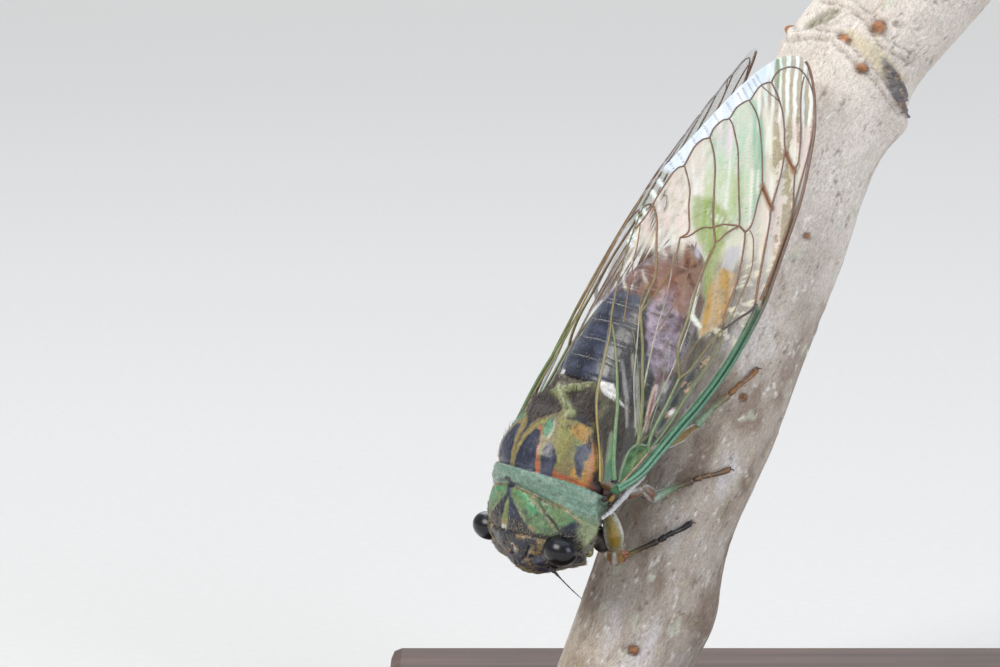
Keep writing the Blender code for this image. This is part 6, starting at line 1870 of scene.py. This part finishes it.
def makePerch():
    down = perchAxes()[0]
    rows, columns = bark["rows"], bark["columns"]
    bearing = 360.0 * np.arange(columns) / columns
    top = perch["node"] - perch["upperLength"]
    start = np.full(columns, perch["lower"])
    for _ in range(6):                      # slide each line of the bark up to the level cut
        level = (branchPlace(start, bearing, barkReach(start, bearing)) @ axes + middle)[:, 2]
        start = start + (perch["cutLevel"] - level) / (down @ axes)[2]
    share = np.linspace(0.0, 1.0, rows)[:, None]
    along = start + (top - start) * share
    degrees = np.tile(bearing, (rows, 1))
    relief, *masks = barkForm(along, degrees)
    fade = np.minimum(ease(share, 0.0, 0.01), ease(1.0 - share, 0.0, 0.01))
    grid = branchPlace(along, degrees, barkReach(along, degrees) + relief * fade - 0.18 * (1 - fade))
    grid[0] = (grid[0] + down
               * ((perch["cutLevel"] - (grid[0] @ axes + middle)[:, 2]) / (down @ axes)[2])[:, None])
    masks = [mask.ravel() for mask in masks]
    paint = barkPaint(along.ravel(), degrees.ravel(), *masks).reshape(rows, columns, 3)
    caps = []
    for ring in (grid[0], grid[-1]):
        share = np.linspace(0.97, 0.03, bark["capRings"])[:, None, None]
        centre = ring.mean(0)
        places = centre + (ring - centre) * share
        rings = np.sin(share[..., 0] * bark["growthRings"] + 1.5 * cloud(places, 2.5, 111))
        face = brush(coat("#b39a72", places.size // 3), "#8c6c45", (ease(rings, 0.2, 0.9) * 0.7).ravel())
        face = brush(face, "#5f4630", (ease(share[..., 0] + 0 * rings, 0.88, 0.93)).ravel() * 0.8)
        face = brush(face, "#5a3f28", (1.0 - ease(share[..., 0] + 0 * rings, 0.03, 0.09)).ravel())
        caps.append((places, face.reshape(places.shape)))
    grid = np.concatenate([caps[0][0][::-1], grid, caps[1][0]])
    paint = np.concatenate([caps[0][1][::-1], paint, caps[1][1]]).reshape(-1, 3)
    body = gridBody(grid)
    body["paint"] = np.vstack([paint, paint[:1], paint[-1:]])
    material, tree, shader = newMaterial("smooth twig bark")
    # thin living bark: dry and matt, fine lengthwise grain with pores, and paint that is paler toward the
    # upper end as painted light
    place = insectPlace(tree)
    colour = addNode(tree, "ShaderNodeAttribute", {"attribute_name": "paint"})
    turned = addNode(tree, "ShaderNodeMapping", {}, {"Vector": place, "Scale": (0.9, 2.4, 2.4)})
    fibre = addNode(tree, "ShaderNodeTexNoise", {}, {"Vector": turned, "Scale": 2.4, "Detail": 7.0})
    grit = addNode(tree, "ShaderNodeTexNoise", {}, {"Vector": place, "Scale": 7.0, "Detail": 5.0})
    both = addNode(tree, "ShaderNodeMath", {"operation": "ADD"}, {0: fibre, 1: grit})
    shade = addNode(tree, "ShaderNodeMapRange", {}, {
        "Value": both, "From Min": 0.80, "From Max": 1.20, "To Min": 0.80, "To Max": 1.16})
    tint = addNode(tree, "ShaderNodeVectorMath", {"operation": "SCALE"}, {0: colour, "Scale": shade})
    relief = addNode(tree, "ShaderNodeBump", {}, {"Height": both, "Strength": 0.6, "Distance": 0.08 * mm})
    connect(tree, shader, {"Base Color": tint, "Normal": relief, "Roughness": 0.78})
    addPiece("branch", body, material, ("perch",))


makePerch()
print("branch made")


# Display base and rod keep their own solids and get their finishes

def walnutFinish():
    # oiled walnut: straight grain along the long side with darker pores, and a soft low sheen
    material, tree, shader = newMaterial("oiled walnut")
    place = addNode(tree, "ShaderNodeTexCoord")
    turned = addNode(tree, "ShaderNodeMapping", {}, {
        "Vector": place.outputs["Object"], "Scale": (18.0, 260.0, 260.0)})
    warp = addNode(tree, "ShaderNodeTexNoise", {}, {"Vector": place.outputs["Object"], "Scale": 60.0,
        "Detail": 3.0})
    grain = addNode(tree, "ShaderNodeTexNoise", {}, {
        "Vector": turned, "Scale": 1.0, "Detail": 6.0, "Distortion": 0.6})
    pore = addNode(tree, "ShaderNodeTexNoise", {}, {"Vector": turned, "Scale": 6.0, "Detail": 3.0})
    ramp = addNode(tree, "ShaderNodeValToRGB", {}, {"Fac": grain})
    ramp.color_ramp.elements.new(0.5)
    for element, (position, code) in zip(ramp.color_ramp.elements, (
            (0.34, "#35211a"), (0.5, "#452c1e"), (0.68, "#5a3b27"))):
        element.position = position
        element.color = rgba(code)
    dark = addNode(tree, "ShaderNodeMapRange", {}, {
        "Value": pore, "From Min": 0.56, "From Max": 0.66, "To Min": 1.0, "To Max": 0.8})
    cloudy = addNode(tree, "ShaderNodeMapRange", {}, {
        "Value": warp, "From Min": 0.3, "From Max": 0.7, "To Min": 0.85, "To Max": 1.15})
    both = addNode(tree, "ShaderNodeMath", {"operation": "MULTIPLY"}, {0: dark, 1: cloudy})
    tint = addNode(tree, "ShaderNodeVectorMath", {"operation": "SCALE"}, {0: ramp, "Scale": both})
    relief = addNode(tree, "ShaderNodeBump", {}, {
        "Height": dark, "Strength": 0.08, "Distance": 0.02 * mm})
    polish = addNode(tree, "ShaderNodeMapRange", {}, {
        "Value": grain, "From Min": 0.3, "From Max": 0.7, "To Min": 0.55, "To Max": 0.45})
    connect(tree, shader, {"Specular IOR Level": 0.35, "Base Color": tint, "Normal": relief,
        "Roughness": polish})
    return material


def steelFinish():
    # drawn stainless rod: fine scratches along its length
    material, tree, shader = newMaterial("drawn stainless steel")
    place = addNode(tree, "ShaderNodeTexCoord")
    turned = addNode(tree, "ShaderNodeMapping", {}, {
        "Vector": place.outputs["Object"], "Scale": (9000.0, 9000.0, 200.0)})
    scratch = addNode(tree, "ShaderNodeTexNoise", {}, {"Vector": turned, "Scale": 1.0, "Detail": 3.0})
    polish = addNode(tree, "ShaderNodeMapRange", {}, {
        "Value": scratch, "From Min": 0.3, "From Max": 0.7, "To Min": 0.24, "To Max": 0.42})
    tint = addNode(tree, "ShaderNodeMix", {"data_type": "RGBA"}, {
        0: scratch, 6: rgba("#b4b5b6"), 7: rgba("#d0d1d2")})
    relief = addNode(tree, "ShaderNodeBump", {}, {
        "Height": scratch, "Strength": 0.15, "Distance": 0.01 * mm})
    connect(tree, shader, {"Base Color": tint.outputs[2], "Roughness": polish, "Normal": relief,
        "Metallic": 1.0})
    return material


for node, finish in (("stand_base", walnutFinish()), ("stand_rod", steelFinish())):
    for slotOfNode in bpy.data.objects[node].material_slots:
        slotOfNode.material = finish
print("stand finished")


# Pile: the short stiff hairs of the coat, each one a tuft rooted on its skin

def tuftTree():
    # bent tapering tufts on a mesh's points, each with a patch of the skin's unwrap for its OFBake map
    tree = bpy.data.node_groups.new("pile", "GeometryNodeTree")
    for name, kind in (("Geometry", "NodeSocketGeometry"), ("Sides", "NodeSocketInt"),
                       ("Bends", "NodeSocketInt"), ("Curl", "NodeSocketFloat"), ("Seed", "NodeSocketInt"),
                       ("Finish", "NodeSocketMaterial")):
        tree.interface.new_socket(name=name, in_out="INPUT", socket_type=kind)
    tree.interface.new_socket(name="Geometry", in_out="OUTPUT", socket_type="NodeSocketGeometry")
    entry = addNode(tree, "NodeGroupInput")
    named = {name: addNode(tree, "GeometryNodeInputNamedAttribute", {"data_type": "FLOAT_VECTOR"}, {
        "Name": name}).outputs["Attribute"] for name in ("lie", "inward", "size", "unwrap", "patch")}
    cone = addNode(tree, "GeometryNodeMeshCone", {"fill_type": "NGON"}, {
        "Vertices": entry.outputs["Sides"], "Side Segments": entry.outputs["Bends"],
        "Radius Top": 0.10, "Radius Bottom": 1.0, "Depth": 1.0})
    place = addNode(tree, "GeometryNodeInputPosition")
    corner = addNode(tree, "ShaderNodeVectorMath", {"operation": "MULTIPLY"}, {
        0: place, 1: (0.0012, 0.0, 0.0)})
    parts = addNode(tree, "ShaderNodeSeparateXYZ", {}, {"Vector": place})
    rise = addNode(tree, "ShaderNodeMath", {"operation": "MULTIPLY"}, {0: parts.outputs["Z"], 1: 0.003})
    lifted = addNode(tree, "ShaderNodeCombineXYZ", {}, {"Y": rise})
    patchPlace = addNode(tree, "ShaderNodeVectorMath", {"operation": "ADD"}, {0: corner, 1: lifted})
    marked = addNode(tree, "GeometryNodeStoreNamedAttribute",
                     {"data_type": "FLOAT_VECTOR", "domain": "POINT"},
                     {"Geometry": cone, "Name": "patch", "Value": patchPlace})
    square = addNode(tree, "ShaderNodeMath", {"operation": "MULTIPLY"}, {
        0: parts.outputs["Z"], 1: parts.outputs["Z"]})
    sweep = addNode(tree, "ShaderNodeMath", {"operation": "MULTIPLY"}, {
        0: square, 1: entry.outputs["Curl"]})
    shift = addNode(tree, "ShaderNodeCombineXYZ", {}, {"X": sweep})
    bent = addNode(tree, "GeometryNodeSetPosition", {}, {"Geometry": marked, "Offset": shift})
    aimed = addNode(tree, "FunctionNodeAlignRotationToVector", {"axis": "Z"}, {"Vector": named["lie"]})
    rolled = addNode(tree, "FunctionNodeAlignRotationToVector", {"axis": "X", "pivot_axis": "Z"}, {
        "Rotation": aimed, "Vector": named["inward"]})
    vary = addNode(tree, "FunctionNodeRandomValue", {"data_type": "FLOAT"}, {
        "Min": 0.75, "Max": 1.25, "Seed": entry.outputs["Seed"]})
    size = addNode(tree, "ShaderNodeVectorMath", {"operation": "SCALE"}, {
        0: named["size"], "Scale": vary.outputs[1]})
    spread = addNode(tree, "GeometryNodeInstanceOnPoints", {}, {
        "Points": entry.outputs["Geometry"], "Instance": bent,
        "Rotation": rolled, "Scale": size})
    real = addNode(tree, "GeometryNodeRealizeInstances", {}, {"Geometry": spread})
    unwrapped = addNode(tree, "ShaderNodeVectorMath", {"operation": "ADD"},
        {0: named["unwrap"], 1: named["patch"]})
    mapped = addNode(tree, "GeometryNodeStoreNamedAttribute",
                     {"data_type": "FLOAT2", "domain": "CORNER"},
                     {"Geometry": real, "Name": "OFBake", "Value": unwrapped})
    finish = addNode(tree, "GeometryNodeSetMaterial", {}, {
        "Geometry": mapped, "Material": entry.outputs["Finish"]})
    addNode(tree, "NodeGroupOutput", {}, {"Geometry": finish})
    return tree


def setaFinish():
    # stiff translucent bristle, read as a dusting of tan and silver over the dark shell
    material, tree, shader = newMaterial("insect setae")
    paint = addNode(tree, "ShaderNodeAttribute", {"attribute_name": "paint"})
    connect(tree, shader, {"Base Color": paint, "Roughness": 0.5, "Sheen Weight": 0.3})
    return material


def headPile(p, tone):
    side = np.abs(p[:, 1])
    socket = np.array(head["eye"])
    reach = np.linalg.norm((np.stack([p[:, 0], side, p[:, 2]], -1) - socket) / np.array(head["eyeRadii"]),
        axis=-1)
    weight = 0.12 + 7.0 * np.clip(tone - 0.04, 0.0, 0.25) + 0.5 * bump(reach, 1.15, 0.12)
    return weight * ease(reach, 1.02, 1.08) * ease(p[:, 2], -4.0, -2.0)


def pronotumPile(p, tone):
    margin = ease(p[:, 0] + 0.035 * p[:, 1] ** 2, 8.2, 9.2)
    edge = bump(p[:, 2], 0.3, 0.7) * ease(np.abs(p[:, 1]), 5.0, 5.6)
    return ((0.10 + 0.45 * margin + 0.5 * edge) * ease(p[:, 0] - collarLine(p[:, 1]), 0.1, 0.3)
            * ease(p[:, 2], -1.0, -0.2))


def mesonotumPile(p, tone):
    x = p[:, 0]
    rear = 1.0 - ease(x, 0.2, 1.2)
    dark = 1.0 - ease(tone, 0.05, 0.14)
    return ((0.04 + rear * (0.15 + 0.85 * dark)) * (1.0 - ease(x - collarLine(p[:, 1]), -0.4, -0.2))
            * ease(p[:, 2], 0.2, 1.2))


def flankPile(p, tone):
    return (0.4 + 2.0 * tone) * (1.0 - ease(p[:, 2], -1.4, -0.6))


def abdomenPile(p, tone):
    t = ringShare(p[:, 0])
    fringe = ease(t, 0.72, 0.86)
    tail = ease(-p[:, 0], 14.5, 17.5)
    return 0.20 + 0.8 * fringe + 0.8 * tail + 0.4 * (1.0 - ease(p[:, 2], -2.5, -1.0))


piles = {                                   # skin, where, tufts, length, half width, lift, tones, slot
    "head_pile": ("head_shell", headPile, 3600, 0.26, 0.019, 0.55, ("#9a8250", "#cbb786", "#3a3234"),
        "black_shell"),
    "pronotum_pile": ("thorax_shell", pronotumPile, 4200, 0.22, 0.017, 0.50, ("#a8935e", "#cdbd8e",
        "#4a4430"), "green_shell"),
    "mesonotum_pile": ("thorax_shell", mesonotumPile, 6000, 0.48, 0.019, 0.60, ("#4a3b30", "#7d6a52",
        "#28222a"), "olive_shell"),
    "flank_pile": ("thorax_shell", flankPile, 5000, 0.40, 0.020, 0.55, ("#c2bba6", "#dedacc",
        "#8a7a60"), "pale_underside"),
    "abdomen_pile": ("abdomen_shell", abdomenPile, 6500, 0.22, 0.014, 0.35, ("#a89a80", "#cfc6b4",
        "#5a4a3c"), "abdomen_shell"),
}


def growPile(name, tree, finish, seed):
    skin, where, count, length, girth, lift, tones, slot = piles[name]
    body = skins[skin]
    quads = body["quads"]
    corners = body["points"][quads]
    facing = np.cross(corners[:, 2] - corners[:, 0], corners[:, 3] - corners[:, 1])
    area = np.linalg.norm(facing, axis=1)
    tone = body["paint"][quads].mean((1, 2))
    weight = area * where(corners.mean(1), tone) * (1.0 - ease(tone, 0.55, 0.75))
    chance = np.random.default_rng(seed)
    picks = chance.choice(len(quads), count, p=weight / weight.sum())
    a, b = chance.random((2, count, 1))
    shares = np.stack([(1 - a) * (1 - b), a * (1 - b), a * b, (1 - a) * b], 1)
    roots = (corners[picks] * shares).sum(1)
    normals = unit(facing[picks])
    back = np.array((-1.0, 0.0, 0.0)) + 0.35 * chance.normal(size=(count, 3))
    flat = unit(back - normals * (back * normals).sum(1, keepdims=True))
    lie = unit(flat + normals * (lift * chance.uniform(0.5, 1.5, (count, 1))))
    around, along = body["around"][quads[picks]], body["along"][quads[picks]]
    around = around + (around.max(1, keepdims=True) - around > 0.5)
    unwrap = np.stack([(around * shares[..., 0]).sum(1), (along * shares[..., 0]).sum(1),
        np.zeros(count)], -1)
    sizes = np.stack([np.full(count, girth), np.full(count, girth), np.full(count, length)], -1)
    sizes = sizes * chance.uniform(0.7, 1.3, (count, 1)) * mm
    choice = chance.random(count)
    paint = brush(coat(tones[0], count), tones[1], choice < 0.4)
    brush(paint, tones[2], choice > 0.8)
    paint = 0.75 * paint + 0.25 * body["paint"][quads[picks]].mean(1)
    mesh = bpy.data.meshes.new(name + "_roots")
    mesh.from_pydata(toWorld(roots - normals * 0.02).tolist(), [], [])
    for key, values in (("lie", lie @ axes), ("inward", -normals @ axes), ("size", sizes),
            ("unwrap", unwrap)):
        mesh.attributes.new(key, "FLOAT_VECTOR", "POINT").data.foreach_set("vector", values.ravel())
    colours = np.hstack([paint, np.ones((count, 1))])
    mesh.attributes.new("paint", "FLOAT_COLOR", "POINT").data.foreach_set("color", colours.ravel())
    grown = grownMesh(mesh, tree, {"Sides": 3, "Bends": 3, "Curl": 5.0, "Seed": seed, "Finish": finish})
    for key in ("lie", "inward", "size", "unwrap", "patch"):
        if key in grown.attributes:
            grown.attributes.remove(grown.attributes[key])
    addObject(name, grown, finish)
    print(name, len(grown.polygons), "faces", [layer.name for layer in grown.uv_layers])


def makePiles():
    tree, finish = tuftTree(), setaFinish()
    for seed, name in enumerate(piles):
        growPile(name, tree, finish, 11 + seed)


makePiles()
print("pile made")


# Floor, light and camera

stage = {
    "floorSize": 5.0,                       # m; the camera looks down, so the floor fills its whole view
    "centre": (-19.02, -6.48, 36.90),       # mm, what the middle of the picture looks at
    "distance": 350.0, "tilt": 8.0, "lens": 149.25, "sensor": 36.0,
    "lamps": (                              # name, place in m, power in W, size in m, colour
        ("key", (-0.48, -0.40, 0.52), 4.4, 0.42, "#fffaf2"),
        ("fill", (0.50, -0.52, 0.34), 2.2, 0.42, "#ecf2ff"),
        ("crown", (0.05, 0.05, 0.75), 2.6, 0.90, "#e3edff"),
        ("back", (0.0, 1.7, 1.7), 30.0, 1.8, "#ffffff"),
    ),
    "aim": (0.0, 0.0, 0.035),               # m, where the lamps point
    "sky": 0.42,
}


def makeFloor():
    material, tree, shader = newMaterial("matt backdrop paper")
    place = addNode(tree, "ShaderNodeTexCoord")
    fibre = addNode(tree, "ShaderNodeTexNoise", {}, {
        "Vector": place.outputs["Object"], "Scale": 900.0, "Detail": 4.0})
    tone = addNode(tree, "ShaderNodeMix", {"data_type": "RGBA"}, {
        0: fibre, 6: rgba("#cbc9c4"), 7: rgba("#d2d0cc")})
    connect(tree, shader, {"Base Color": tone.outputs[2], "Roughness": 0.9})
    half = stage["floorSize"] / 2.0
    mesh = bpy.data.meshes.new("floor")
    mesh.from_pydata([(-half, -half, 0.0), (half, -half, 0.0), (half, half, 0.0), (-half, half, 0.0)],
                     [], [(0, 1, 2, 3)])
    mesh.materials.append(material)
    floor = bpy.data.objects.new("floor", mesh)
    bpy.context.scene.collection.objects.link(floor)


def makeLamps():
    aim = Vector(stage["aim"])
    for name, place, power, size, colour in stage["lamps"]:
        lamp = bpy.data.lights.new(name, "AREA")
        lamp.energy = power
        lamp.size = size
        lamp.color = linearColour(colour)
        holder = bpy.data.objects.new(name, lamp)
        holder.location = place
        holder.rotation_euler = (aim - Vector(place)).to_track_quat("-Z", "Y").to_euler()
        bpy.context.scene.collection.objects.link(holder)
    world = bpy.data.worlds.new("studio")
    world.use_nodes = True
    background = world.node_tree.nodes["Background"]
    background.inputs["Color"].default_value = rgba("#e6eefb")
    background.inputs["Strength"].default_value = stage["sky"]
    bpy.context.scene.world = world
    bpy.context.scene.view_settings.view_transform = "Standard"


def makeCamera():
    tilt = math.radians(stage["tilt"])
    lens = bpy.data.cameras.new("camera")
    lens.lens = stage["lens"]
    lens.sensor_width = stage["sensor"]
    lens.clip_start = 0.01
    lens.clip_end = 20.0
    camera = bpy.data.objects.new("camera", lens)
    back = Vector((0.0, -math.cos(tilt), math.sin(tilt))) * stage["distance"]
    camera.location = (Vector(stage["centre"]) + back) * mm
    camera.rotation_euler = Euler((math.pi / 2.0 - tilt, 0.0, 0.0))
    bpy.context.scene.collection.objects.link(camera)
    bpy.context.scene.camera = camera


makeFloor()
makeLamps()
makeCamera()
print("stage made")
